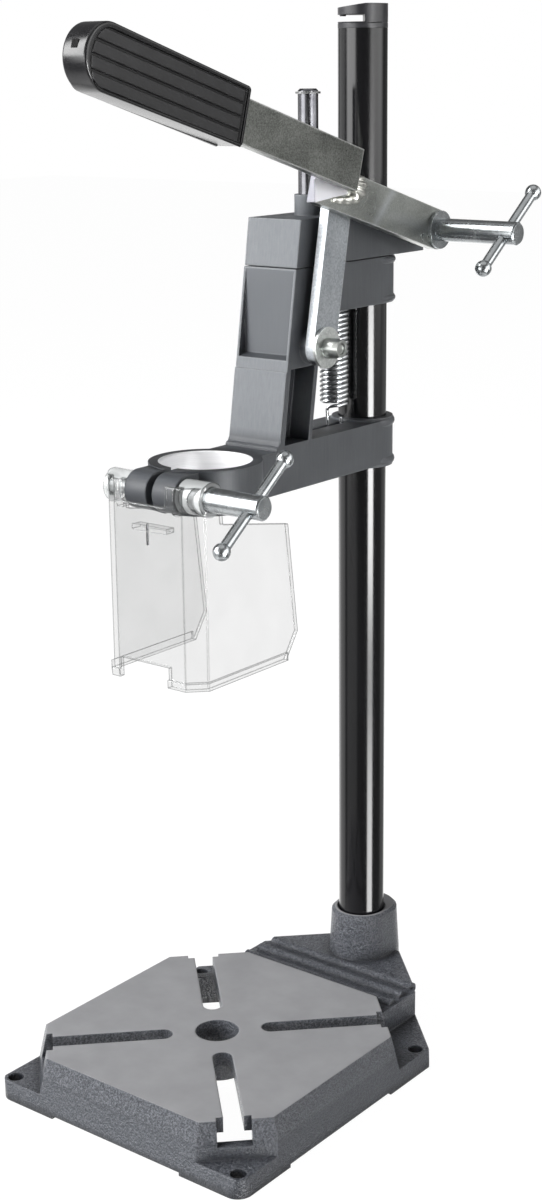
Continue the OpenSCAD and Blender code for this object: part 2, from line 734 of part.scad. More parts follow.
module carriage_casting() color("#6b6e72") {
    difference() {
        union() {
            block(-arm_h, arm_h, throat - tower_top, throat, upper_z0, frame_z1);
            sleeve(upper_z0, frame_z1, 2);
            block(-arm_h, arm_h, throat - tower_foot - 3, throat, frame_z0, lower_z1);
            sleeve(frame_z0 - 1.4, lower_z1 + 1.4, 2.7);
            tower();
            collar_body();
            rod_x(8.7, arm_h - 1, boss_x, link_low[0], link_low[1]);
        }
        translate([0, throat, frame_z0 - 3]) cylinder(r = column_r + running, h = frame_h + 6);
        // Collar bore with its rim chamfers, and the slit
        translate([0, 0, frame_z0 - 1]) cylinder(d = collar_d, h = collar_h + 2);
        translate([0, 0, collar_z1 - 0.65]) cylinder(d1 = collar_d, d2 = collar_d + 1.4, h = 0.7);
        translate([0, 0, frame_z0 - 0.05]) cylinder(d1 = collar_d + 1.4, d2 = collar_d, h = 0.7);
        block(-collar_slit / 2, collar_slit / 2, hinge_y - ear_r - 1, 0, frame_z0 - 1, collar_z1 + 1);
        rod_x(bolt_d / 2 + running, -ear_half - 1, ear_half + 1, hinge_y, hinge_z);
        // Spring well and guide rod in the upper arm
        translate([0, throat - spring_y, upper_z0 - 1]) cylinder(r = spring_hole_r, h = upper_h + 2);
        translate([0, throat - rod_y, upper_z0 - 1]) cylinder(r = rod_d / 2 - press, h = upper_h + 2);
        // Hook slot, pockets and cross pin in the lower arm
        block(-1.8, 1.8, throat - tower_back_foot + 1, throat - 17.8, lower_z1 - 8, lower_z1 + 1);
        block(-arm_h + 4, arm_h - 4, throat - tower_back_foot + 2, throat - 17.4, frame_z0 - 1,
            lower_z1 - 4);
        block(-arm_h + 4, arm_h - 4, collar_r + 3, throat - tower_back_foot - 2, frame_z0 - 1,
            lower_z1 - 8);
        rod_x(spring_pin_d / 2 - press, -arm_h - 1, arm_h - 2, throat - spring_y, pin_low_z);
        rod_x(link_pin_d / 2 - press, 4, boss_x + 1, link_low[0], link_low[1]);
        // Tower windows
        window(arm_h - window_d, arm_h + 1);
        window(-arm_h - 1, -arm_h + window_d);
        recess(1.3);
    }
}

module guide_rod() color("#d5d7d8") {
    z0 = upper_z0 + 0.4;
    translate([0, throat - rod_y, z0]) difference() {
        rotate_extrude() polygon([[0, 0], [rod_d / 2, 0], [rod_d / 2, rod_len - 1], [rod_d / 2 - 1,
            rod_len],
            [0, rod_len]]);
        translate([0, 0, rod_len - 2.4]) difference() {
            cylinder(r = rod_d, h = 1.1);
            translate([0, 0, -1]) cylinder(r = rod_d / 2 - 0.4, h = 4);
        }
    }
}

module rod_circlip() color("#55585a") {
    translate([0, throat - rod_y, upper_z0 + 0.4 + rod_len - 2.4]) difference() {
        cylinder(r = rod_d / 2 + 1.1, h = 1);
        translate([0, 0, -1]) cylinder(r = rod_d / 2 - 0.4, h = 3);
        block(-1.2, 1.2, 0, 20, -1, 3);
    }
}

module link_pin() color("#b4b6b0") {
    rod_x(link_pin_d / 2, 4.3, link_x1 + 7, link_low[0], link_low[1]);
}

module link_washer() color("#bfc1bf") {
    difference() {
        rod_x(10, link_x1 + side_gap, link_x1 + side_gap + 1.6, link_low[0], link_low[1]);
        rod_x(link_pin_d / 2 - press, link_x1, link_x1 + 3, link_low[0], link_low[1]);
    }
}

module link_nut() color("#8f9194") {
    x0 = link_x1 + side_gap + 1.6;
    difference() {
        translate([x0, link_low[0], link_low[1]]) rotate([0, 90, 0]) rotate_extrude()
            polygon([[0, 0], [5.2, 0], [5.2, 1.2], [4.8, 5.6], [4.2, 8.4], [2.8, 8.4], [2.4, 7.4], [0, 7.4]]);
        rod_x(link_pin_d / 2 - press, x0 - 1, link_x1 + 7, link_low[0], link_low[1]);
    }
}

module spring_pin_lower() color("#8d8f90") {
    rod_x(spring_pin_d / 2, -arm_h + 0.3, arm_h - 2, throat - spring_y, pin_low_z);
}

// Spring: one tube along a hook, the curls and a second hook

function unit(v) = v / norm(v);

hook_low_path = concat(
    [for (a = [0 : 1]) [0, hook_r, hook_low_z + 6.6 - a * 2.4]],
    [for (a = [0 : 18 : 180]) [0, hook_r * cos(a), hook_low_z - hook_r * sin(a)]],
    [for (t = [0.25 : 0.25 : 0.75]) [0, -hook_r - (spring_r - hook_r) * t, hook_low_z
        + (spring_z0 - 2.6 - hook_low_z) * t]],
    [[0.06, -spring_r, spring_z0 - 2.2], [0.6, -spring_r, spring_z0 - 0.9]]);
steps = 8;
pitch = (spring_z1 - spring_z0) / curls;
curl_path = [for (i = [1 : curls * steps - 1]) let (a = -90 + 360 * i / steps)
    [spring_r * cos(a), spring_r * sin(a), spring_z0 + pitch * i / steps]];
hook_high_path = concat(
    [[-0.6, -spring_r, spring_z1 + 0.9], [-0.06, -spring_r, spring_z1 + 2.2]],
    [for (t = [0.4 : 0.3 : 0.7]) [0, -spring_r + (spring_r - hook_r) * t, spring_z1 + 2.6
        + (hook_high_z - spring_z1 - 2.6) * t]],
    [for (a = [180 : -18 : 0]) [0, hook_r * cos(a), hook_high_z + hook_r * sin(a)]],
    [for (a = [0 : 1]) [0, hook_r, hook_high_z - 1.6 - a * 2]]);
spring_path = concat(hook_low_path, curl_path, hook_high_path);
last = len(spring_path) - 1;
tangents = [for (i = [0 : last]) unit(spring_path[min(i + 1, last)] - spring_path[max(i - 1, 0)])];
normals = [for (i = 0, n = [1, 0, 0]; i <= last;
    i = i + 1, n = i > last ? n : unit(n - (n * tangents[i]) * tangents[i])) n];
spring_gap = min([for (i = [0 : last], j = [i + 5 : last]) if (j > i + 4)
    norm(spring_path[i] - spring_path[j])]) - wire_d;
echo(spring_gap = spring_gap);

module return_spring() color("#c7c9c8") {
    sides = 6;
    points = [for (i = [0 : last], k = [0 : sides - 1]) let (a = 360 * k / sides,
        b = cross(tangents[i], normals[i]))
        spring_path[i] + (normals[i] * cos(a) + b * sin(a)) * wire_d / 2];
    skin = [for (i = [0 : last - 1], k = [0 : sides - 1]) let (a = i * sides + k,
        b = i * sides + (k + 1) % sides)
        each [[a, a + sides, b], [b, a + sides, b + sides]]];
    ends = [for (k = [1 : sides - 2]) each [[0, k, k + 1], [last * sides, last * sides + k + 1,
        last * sides + k]]];
    translate([0, throat - spring_y, 0]) polyhedron(points = points, faces = concat(skin, ends),
        convexity = 10);
}

// Chip guard

module guard_side() {
    polygon([[-guard_front, guard_z0], [-guard_front, hinge_z + 6], [hinge_y + 6, hinge_z + 6],
        [hinge_y + hub_r, hinge_z - neck_drop], [guard_back - 7, hinge_z - wall_drop],
        [guard_back, guard_z0 + toe_up], [guard_back - toe_in, guard_z0]]);
    translate([hinge_y, hinge_z]) circle(hub_r);
}

module guard_plan(w, front, c) {
    back = guard_back * 2;
    polygon([[-w, back], [-w, -front + c], [-w + c, -front], [w - c, -front], [w, -front + c], [w,
        back]]);
}

module chip_guard() color("#dfe8ea", 0.4) {
    difference() {
        union() {
            intersection() {
                translate([0, 0, guard_z0]) linear_extrude(height = guard_drop + hub_r + 2) difference() {
                    guard_plan(guard_h, guard_front, guard_chamfer);
                    guard_plan(guard_h - guard_t, guard_front - guard_t, guard_chamfer - guard_t * 0.4);
                }
                translate([-guard_h - 5, 0, 0]) rotate([90, 0, 90]) linear_extrude(height = guard_w + 10)
                    guard_side();
            }
            // Rim along the lower edge
            intersection() {
                translate([0, 0, guard_z0]) linear_extrude(height = guard_rim) difference() {
                    guard_plan(guard_h + 1, guard_front + 1, guard_chamfer);
                    guard_plan(guard_h - guard_t, guard_front - guard_t, guard_chamfer - guard_t * 0.4);
                }
                block(-guard_w, guard_w, -2 * guard_front, guard_back - toe_in, guard_z0 - 1,
                    guard_z0 + guard_rim + 1);
            }
            // Hubs, with webs to the front panel
            rod_x(hub_r, -guard_h + 0.5, -ear_half - side_gap, hinge_y, hinge_z);
            rod_x(hub_r, ear_half + side_gap, guard_h - 0.5, hinge_y, hinge_z);
            for (s = [-1, 1]) block(s < 0 ? -ear_half - 4 : ear_half + side_gap,
                s < 0 ? -ear_half - side_gap
                : ear_half + 4, -guard_front + 0.5, hinge_y, hinge_z - 7.4, hinge_z + 5.4);
            // Inner tab for the pin
            block(-10, 11, -guard_front + 0.5, -guard_front + guard_t + 5.5, hinge_z - tab_drop,
                hinge_z - tab_drop + 2.4);
        }
        rod_x(bolt_d / 2 + running, -guard_h - 1, 0, hinge_y, hinge_z);
        rod_x(barrel_d / 2 + running, 0, guard_h + 1, hinge_y, hinge_z);
        // Upper and lower openings in the front panel
        block(open_left, open_right, -guard_front - 3, -guard_front + guard_t + 0.1, hinge_z - 4,
            hinge_z + 20);
        block(open_left, open_right, -guard_front - 3, -guard_front + guard_t + 0.1, guard_z0 - 1,
            guard_z0 + open_up);
        translate([-3, -guard_front + guard_t + 2.6, hinge_z - 30]) cylinder(r = tab_pin_d / 2 - press, h = 30);
    }
}

module guard_pin() color("#3b3d40") {
    translate([-3, -guard_front + guard_t + 2.6, hinge_z - 24.5]) cylinder(d = tab_pin_d, h = 10.4);
}

base_casting();
column_screw();
column_tube();
column_cap();
head_casting();
clamp_nut();
lever_spacer();
spring_pin_upper();
clamp_bolt();
clamp_washer();
clamp_bar();
lever_plate();
lever_bar();
lever_weld();
lever_grip();
link_stud();
link_bar();
carriage_casting();
guide_rod();
rod_circlip();
link_pin();
link_washer();
link_nut();
spring_pin_lower();
return_spring();
collar_bolt();
collar_clip();
collar_bar();
chip_guard();
guard_pin();
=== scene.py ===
"""Studio scene of a bench drill stand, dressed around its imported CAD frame.

Every length is in metres in the CAD frame: the origin is the drilling axis at the bench, +Z is up,
the column stands at +Y and the lever lies on the +X side.
"""
from __future__ import annotations

import functools
import json
import logging
from dataclasses import dataclass
from enum import Enum
from math import cos, hypot, pi, radians, sin, sqrt
from typing import Any, Callable, Protocol, Sequence

import bmesh
import bpy
from mathutils import Matrix, Vector

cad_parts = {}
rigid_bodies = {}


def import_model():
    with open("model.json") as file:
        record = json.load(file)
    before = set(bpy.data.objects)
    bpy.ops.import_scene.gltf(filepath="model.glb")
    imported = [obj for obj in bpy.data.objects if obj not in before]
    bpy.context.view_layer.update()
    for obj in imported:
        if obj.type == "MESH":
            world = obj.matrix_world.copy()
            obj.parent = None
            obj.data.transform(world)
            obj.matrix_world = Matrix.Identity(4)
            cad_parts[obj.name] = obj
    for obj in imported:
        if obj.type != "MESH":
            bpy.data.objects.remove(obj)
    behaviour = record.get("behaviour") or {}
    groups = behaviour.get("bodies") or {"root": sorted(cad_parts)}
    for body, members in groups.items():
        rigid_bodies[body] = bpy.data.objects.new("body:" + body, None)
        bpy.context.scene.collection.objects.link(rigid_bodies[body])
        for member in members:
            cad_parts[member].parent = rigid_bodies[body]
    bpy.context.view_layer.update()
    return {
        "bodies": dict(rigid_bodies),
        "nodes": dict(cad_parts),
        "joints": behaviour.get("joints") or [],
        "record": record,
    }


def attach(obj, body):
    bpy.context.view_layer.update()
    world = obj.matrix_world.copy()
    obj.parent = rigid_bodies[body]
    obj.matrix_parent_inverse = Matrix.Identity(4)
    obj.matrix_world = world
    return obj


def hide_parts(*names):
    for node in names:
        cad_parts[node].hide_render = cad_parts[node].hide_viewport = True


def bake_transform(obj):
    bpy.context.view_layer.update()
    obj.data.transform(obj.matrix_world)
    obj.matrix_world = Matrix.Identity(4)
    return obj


LOG = logging.getLogger("drill_stand")
MM = 0.001
Color = tuple[float, float, float]
Point = tuple[float, float, float]
Span = tuple[float, float]
Frame = dict[str, Any]
Inputs = dict[str | int, Any]
Material = bpy.types.Material
Outline = list[tuple[float, float]]
UP: Point = (0.0, 0.0, 1.0)
RIGHT: Point = (1.0, 0.0, 0.0)
FRONT: Point = (0.0, -1.0, 0.0)
WHITE: Color = (1.0, 1.0, 1.0)
NOISE: Span = (0.3, 0.7)


class Body(Enum):
    """The bodies that carry the scene's own pieces."""

    HEAD = "head"
    LEVER = "lever"
    CARRIAGE = "carriage"


class Side(Enum):
    """Side of a flat piece along X."""

    NEAR = 1
    FAR = -1


class Mix(Enum):
    """Kinds of mix node: its data type, the inputs of the two values and the output."""

    NUMBER = ("FLOAT", 2, 3, 0)
    VECTOR = ("VECTOR", 4, 5, 1)
    COLOR = ("RGBA", 6, 7, 2)


class Cells(Enum):
    """Kinds of cell texture: its feature and the output that is used."""

    TONES = ("F1", "Color")
    DIMPLES = ("SMOOTH_F1", "Distance")


# Shader graph helpers


class NodeWriter:
    """A small writer for one node tree."""

    def __init__(self, tree: bpy.types.NodeTree) -> None:
        """Start with an empty tree.

        Args:
            tree: The node tree of a material or of the world.
        """
        self.nodes = tree.nodes
        self.links = tree.links
        self.nodes.clear()

    def node(self, kind: str, inputs: Inputs | None = None, **settings: Any) -> Any:
        """Add a node, set its properties and fill its sockets.

        Args:
            kind: Blender's node type, without ShaderNode in front.
            inputs: Socket name or number to a value or to another node's socket.
            settings: Properties of the node itself.

        Returns:
            The new node.
        """
        made = self.nodes.new("ShaderNode" + kind)
        for key, value in settings.items():
            setattr(made, key, value)
        for key, value in (inputs or {}).items():
            self.put(made.inputs[key], value)
        return made

    def put(self, socket: Any, value: Any) -> None:
        """Give a socket a value or a link.

        Args:
            socket: The input socket.
            value: A number, a colour, a vector or an output socket.
        """
        if isinstance(value, bpy.types.NodeSocket):
            self.links.new(value, socket)
        elif socket.type == "RGBA" and len(value) == 3:
            socket.default_value = (*value, 1.0)
        else:
            socket.default_value = value

    def math(self, how: str, first: Any, second: Any = 0.0) -> Any:
        """The result of a math node on one or two numbers or sockets."""
        return self.node("Math", {0: first, 1: second}, operation=how).outputs[0]

    def times(self, first: Any, second: Any) -> Any:
        """The product of two numbers or sockets."""
        return self.math("MULTIPLY", first, second)

    def weighted(self, *terms: tuple[Any, float]) -> Any:
        """The sum of some values, each a socket with its weight."""
        parts = [self.times(value, weight) for value, weight in terms]
        return functools.reduce(functools.partial(self.math, "ADD"), parts)

    def between(self, value: Any, low: float, high: float, to_low: float = 0.0, to_high: float = 1.0) -> Any:
        """Map the range from low to high of a value on another range, clamped."""
        ends = {"From Min": low, "From Max": high, "To Min": to_low, "To Max": to_high}
        return self.node("MapRange", {"Value": value, **ends}).outputs[0]

    def lerp(self, share: Any, first: Any, second: Any, kind: Mix = Mix.NUMBER) -> Any:
        """Mix two values of a kind, with the share of the second one."""
        data_type, one, two, out = kind.value
        return self.node("Mix", {0: share, one: first, two: second}, data_type=data_type).outputs[out]

    def mix(self, share: Any, first: Any, second: Any) -> Any:
        """Mix two colours, with the share of the second one."""
        return self.lerp(share, first, second, Mix.COLOR)


class Graph(NodeWriter):
    """The writer for one material.

    Its place is the object's coordinates, which are the frame's on every node and piece.
    """

    edge_facing: Span = (0.985, 0.86)
    edge_samples: int = 6
    air_samples: int = 8

    def __init__(self, name: str) -> None:
        """Start an empty material with its output node.

        Args:
            name: The material's name.
        """
        self.material = bpy.data.materials.new(name)
        self.material.use_nodes = True
        super().__init__(self.material.node_tree)
        self.output = self.node("OutputMaterial")
        self.place = self.node("TexCoord").outputs["Object"]

    def noise(self, scale: float, detail: float = 3.0, rough: float = 0.55, at: Any = None) -> Any:
        """Grey noise with a number of cells per metre, in the object's own coordinates or in others."""
        made = self.node("TexNoise", {
            "Vector": at or self.place, "Scale": scale, "Detail": detail, "Roughness": rough})
        return made.outputs["Fac"]

    def streaks(self, cells: Point, detail: float = 2.0, rough: float = 0.5) -> Any:
        """Grey noise with its own number of cells per metre along each axis."""
        made = self.node("Mapping", {"Vector": self.place, "Scale": cells})
        return self.noise(1.0, detail, rough, made.outputs["Vector"])

    def cells(self, scale: float, kind: Cells) -> Any:
        """A cell texture of a kind, with a number of cells per metre."""
        feature, out = kind.value
        return self.node("TexVoronoi", {"Vector": self.place, "Scale": scale}, feature=feature).outputs[out]

    def axes(self) -> Any:
        """The object coordinates, split into X, Y and Z."""
        return self.node("SeparateXYZ", {"Vector": self.place}).outputs

    def dot(self, first: Any, second: Any) -> Any:
        """Dot product of two vectors or sockets."""
        return self.node("VectorMath", {0: first, 1: second}, operation="DOT_PRODUCT").outputs["Value"]

    def facing(self) -> Any:
        """The surface's own normal."""
        return self.node("NewGeometry").outputs["Normal"]

    def toward(self, aim: Sequence[float], low: float, high: float, to_low: float = 0.0,
               to_high: float = 1.0) -> Any:
        """Map the cosine between the surface's normal and a direction on a range, clamped."""
        return self.between(self.dot(self.facing(), tuple(aim)), low, high, to_low, to_high)

    def away(self, first: Any, second: Any) -> Any:
        """Distance from an axis, by the two offsets across it."""
        return self.math("SQRT", self.math("ADD", self.times(first, first), self.times(second, second)))

    def open_air(self, reach: float) -> Any:
        """How open the surroundings are within a reach, from 0 in a crease to 1."""
        made = self.node("AmbientOcclusion", {"Distance": reach}, samples=self.air_samples)
        return made.outputs["AO"]

    def round_edges(self, radius: float) -> tuple[Any, Any]:
        """A normal that rounds the hard edges to a radius, and a mask of those edges."""
        rounded = self.node("Bevel", {"Radius": radius}, samples=self.edge_samples).outputs[0]
        return rounded, self.between(self.dot(rounded, self.facing()), *self.edge_facing)

    def bump(self, height: Any, depth: float, strength: float, normal: Any = None) -> Any:
        """A normal with a relief of a depth, over another normal or over the surface's own."""
        inputs = {"Height": height, "Distance": depth, "Strength": strength}
        return self.node("Bump", inputs if normal is None else {**inputs, "Normal": normal}).outputs[0]

    def surface(self, inputs: Inputs) -> Material:
        """Close the graph with the main shader, and give the material."""
        self.put(self.output.inputs["Surface"], self.node("BsdfPrincipled", inputs).outputs[0])
        return self.material


# Axes of the lever


@dataclass(frozen=True)
class LeverFrame:
    """The lever's own axes: s runs forward along it from the pivot, n is up across it."""

    pivot_y: float = 151.5 * MM
    pivot_z: float = 426.5 * MM
    slope: float = 16.3

    def at(self, x: float, s: float, n: float) -> Vector:
        """A point in the frame, by X and the distances along the lever and up across it."""
        a = radians(self.slope)
        return Vector((x, self.pivot_y - s * cos(a) + n * sin(a),
                       self.pivot_z + s * sin(a) + n * cos(a)))

    def along(self, s: float, n: float) -> Vector:
        """A direction in the frame, by its shares forward along the lever and up across it."""
        return self.at(0.0, s, n) - self.at(0.0, 0.0, 0.0)


# Finishes


class Finish(Protocol):
    """Anything that can build a material."""

    def material(self) -> Material:
        """Build the material."""


@dataclass(frozen=True)
class HammeredCasting:
    """Hammered grey paint on rough cast iron, with a plain machined table top."""

    name: str = "hammered_casting"
    paint: Color = (0.019, 0.022, 0.028)
    paint_light: Color = (0.110, 0.115, 0.130)
    machined: Color = (0.262, 0.263, 0.272)
    machined_dark: Color = (0.213, 0.214, 0.222)
    # crease: painted shade, mixed in where ambient occlusion finds creases and corners
    crease: Color = (0.008, 0.009, 0.012)
    crease_shade_reach: float = 8.0 * MM
    edge_r: float = 1.2 * MM
    top_z: Span = (28.3 * MM, 28.35 * MM)
    low_z: Span = (19.0 * MM, 17.0 * MM)
    low_relief: float = 0.55
    grain: float = 620.0
    relief: float = 1.2 * MM
    lay_grain: float = 55.0
    fine_grain: float = 3800.0
    fine_relief: float = 0.03 * MM
    paint_rough: float = 0.30
    machined_rough: Span = (0.5, 0.62)

    def material(self) -> Material:
        """Build the material.

        Returns:
            The material.
        """
        g = Graph(self.name)
        rounded, edge = g.round_edges(self.edge_r)
        z = g.axes()[2]
        top = g.times(g.between(z, *self.top_z), g.toward(UP, 0.9, 0.97))
        low = g.times(g.between(z, *self.low_z), g.toward(UP, 0.8, 0.6))
        dimples = g.cells(self.grain, Cells.DIMPLES)
        orange = g.noise(self.grain * 1.7, 4.0, 0.6)
        height = g.times(g.weighted((dimples, 0.45), (orange, 0.9)), g.lerp(low, 1.0, self.low_relief))
        # orange-peel tone, plus lighter edges for wear and a painted highlight
        wear_and_highlight = g.math("ADD", g.between(orange, 0.40, 0.64), g.times(edge, 0.6))
        paint = g.mix(g.math("MINIMUM", wear_and_highlight, 1.0), self.paint, self.paint_light)
        # painted shade: the paint of the lower walls is half darkened; their relief is smaller too
        paint = g.mix(g.times(low, 0.5), paint, self.paint)
        # painted shade: the paint turns near black in creases and corners
        paint = g.mix(g.between(g.open_air(self.crease_shade_reach), 0.5, 0.95), self.crease, paint)
        fine = g.noise(self.fine_grain, 2.0, 0.7)
        lay = g.weighted((g.noise(self.lay_grain), 1.0), (fine, 0.35))
        metal = g.mix(g.between(lay, 0.45, 0.95), self.machined_dark, self.machined)
        hammered = g.bump(height, self.relief, 0.9, rounded)
        plain = g.bump(fine, self.fine_relief, 0.5, rounded)
        return g.surface({
            "Base Color": g.mix(top, paint, metal),
            "Roughness": g.lerp(top, self.paint_rough, g.between(fine, *NOISE, *self.machined_rough)),
            "Normal": g.lerp(top, hammered, plain, Mix.VECTOR)})


@dataclass(frozen=True)
class CastPaint:
    """Dark grey paint on a die casting, with an optional machined bore round the drilling axis."""

    name: str = "cast_paint"
    paint: Color = (0.085, 0.091, 0.099)
    paint_light: Color = (0.120, 0.127, 0.136)
    # edge colour: wear and a painted highlight
    wear_and_highlight: Color = (0.30, 0.31, 0.32)
    shade: Color = (0.018, 0.020, 0.024)
    shade_reach: float = 16.0 * MM
    edge_r: float = 1.0 * MM
    relief: float = 0.06 * MM
    rough: Span = (0.40, 0.52)
    specular: float = 0.45
    bore_r: float = 0.0
    bore_step: float = 0.05 * MM
    bore_dark: Color = (0.76, 0.76, 0.77)
    bore_light: Color = (0.88, 0.88, 0.89)
    bore_rough: Span = (0.30, 0.46)
    bore_metal: float = 0.4
    # rim: painted shade on the collar's top rim
    rim: Color = (0.008, 0.009, 0.011)
    rim_shade_r: Span = (31.0 * MM, 28.0 * MM)
    rim_shade_share: float = 1.35
    # sunk: painted shade in the tower's sunk front panel
    sunk: Color = (0.056, 0.060, 0.067)
    sunk_shade_z: Span = (369.0 * MM, 370.0 * MM)
    foot_z: Span = (337.5 * MM, 331.5 * MM)

    def material(self) -> Material:
        """Build the material.

        Returns:
            The material.
        """
        g = Graph(self.name)
        rounded, edge = g.round_edges(self.edge_r)
        cloud = g.noise(70.0)
        grain = g.noise(2600.0, 3.0, 0.65)
        streak = g.streaks((1100.0, 1100.0, 60.0))
        tone = g.between(g.weighted((cloud, 0.35), (grain, 0.3), (streak, 0.35)), 0.35, 0.65)
        # lighter edges: wear and a painted highlight
        paint = g.mix(g.times(edge, 0.45), g.mix(tone, self.paint, self.paint_light), self.wear_and_highlight)
        upward = g.toward(UP, 0.35, 0.95, 0.0, 0.70)
        paint = g.mix(upward, paint, self.shade)
        paint = g.mix(g.toward(RIGHT, 0.8, 0.95, 0.0, 0.22), paint, self.shade)
        paint = g.mix(g.between(g.open_air(self.shade_reach), 0.2, 0.8), self.shade, paint)
        coat = {"Base Color": paint, "Roughness": g.between(cloud, *NOISE, *self.rough),
                "Normal": g.bump(grain, self.relief, 0.6, rounded), "Specular IOR Level": self.specular}
        if self.bore_r > 0.0:
            self.add_bore(g, coat, upward)
        return g.surface(coat)

    def add_bore(self, g: Graph, coat: Inputs, upward: Any) -> None:
        """Paint shade on the tower's foot, in its sunk front panel and on the collar's top rim, and turn the
        bore bright.

        Args:
            g: The material's graph.
            coat: Sockets by the main shader's input names, changed in place.
            upward: Mask of the faces that look up.
        """
        x, y, z = g.axes()
        radius = g.away(x, y)
        foot = g.times(g.toward(FRONT, 0.6, 0.8), g.between(z, *self.foot_z, 0.0, 0.85))
        # painted shade in the sunk front panel of the tower
        sunk = g.times(g.toward(FRONT, 0.99, 0.999, 0.0, 0.8), g.between(z, *self.sunk_shade_z))
        # painted shade on the collar's up-facing top rim
        rim = g.times(upward, g.between(radius, *self.rim_shade_r, 0.0, self.rim_shade_share))
        paint = coat["Base Color"]
        for share, color in ((foot, self.shade), (sunk, self.sunk), (rim, self.rim)):
            paint = g.mix(share, paint, color)
        inside = g.between(radius, self.bore_r, self.bore_r - self.bore_step)
        rings = g.streaks((25.0, 25.0, 5200.0))
        bright = g.mix(g.between(rings, 0.35, 0.7), self.bore_dark, self.bore_light)
        coat["Base Color"] = g.mix(inside, paint, bright)
        coat["Metallic"] = g.times(inside, self.bore_metal)
        coat["Roughness"] = g.lerp(inside, coat["Roughness"], g.between(rings, *NOISE, *self.bore_rough))


@dataclass(frozen=True)
class GlossPaint:
    """Smooth gloss paint on a drawn tube."""

    name: str = "column_gloss"
    paint: Color = (0.003, 0.003, 0.0035)
    paint_light: Color = (0.0051, 0.0051, 0.00595)
    rough: Span = (0.13, 0.18)
    relief: float = 0.02 * MM

    def material(self) -> Material:
        """Build the material.

        Returns:
            The material.
        """
        g = Graph(self.name)
        wave = g.streaks((90.0, 90.0, 9.0))
        fine = g.noise(1500.0, 2.0)
        return g.surface({
            "Base Color": g.mix(g.between(wave, 0.35, 0.7), self.paint, self.paint_light),
            "Roughness": g.between(fine, *NOISE, *self.rough),
            "Normal": g.bump(wave, self.relief, 0.35)})


@dataclass(frozen=True)
class ZincPlate:
    """Zinc plated steel with fine spangle and drawn streaks along one direction."""

    name: str
    dark: Color
    light: Color
    rough: float
    spangle: float = 2400.0
    edge: float = 0.6 * MM
    streak: Point = (420.0, 30.0, 420.0)
    front_metal: float = 1.0
    # edge colour and metallic: wear and a painted highlight on the edges
    wear_and_highlight: Color = (0.80, 0.81, 0.79)
    wear_and_highlight_metal: float = 0.2
    relief: float = 0.08 * MM

    def plating(self, g: Graph) -> Inputs:
        """The plated surface, with lighter edges that stand for wear and for a painted highlight.

        Args:
            g: The material's graph.

        Returns:
            Sockets by the main shader's input names.
        """
        rounded, edge = g.round_edges(self.edge)
        cells = g.cells(self.spangle, Cells.TONES)
        tone = g.node("SeparateColor", {"Color": cells}).outputs[0]
        cloud = g.noise(45.0, 3.0, 0.5)
        streak = g.streaks(self.streak, 3.0, 0.6)
        share = g.between(g.weighted((tone, 0.34), (cloud, 0.42), (streak, 0.24)), 0.25, 0.75)
        front = g.toward(FRONT, 0.7, 0.9, 1.0, self.front_metal)
        # edges lightened and made less metallic: wear, and a painted highlight like a bright bevel line
        return {"Base Color": g.mix(g.times(edge, 0.95), g.mix(share, self.dark, self.light), self.wear_and_highlight),
                "Metallic": g.times(front, g.between(edge, 0.0, 1.0, 1.0, self.wear_and_highlight_metal)),
                "Roughness": g.between(cloud, *NOISE, self.rough, self.rough + 0.06),
                "Normal": g.bump(cloud, self.relief, 0.25, rounded)}

    def material(self) -> Material:
        """Build the material."""
        g = Graph(self.name)
        return g.surface(self.plating(g))


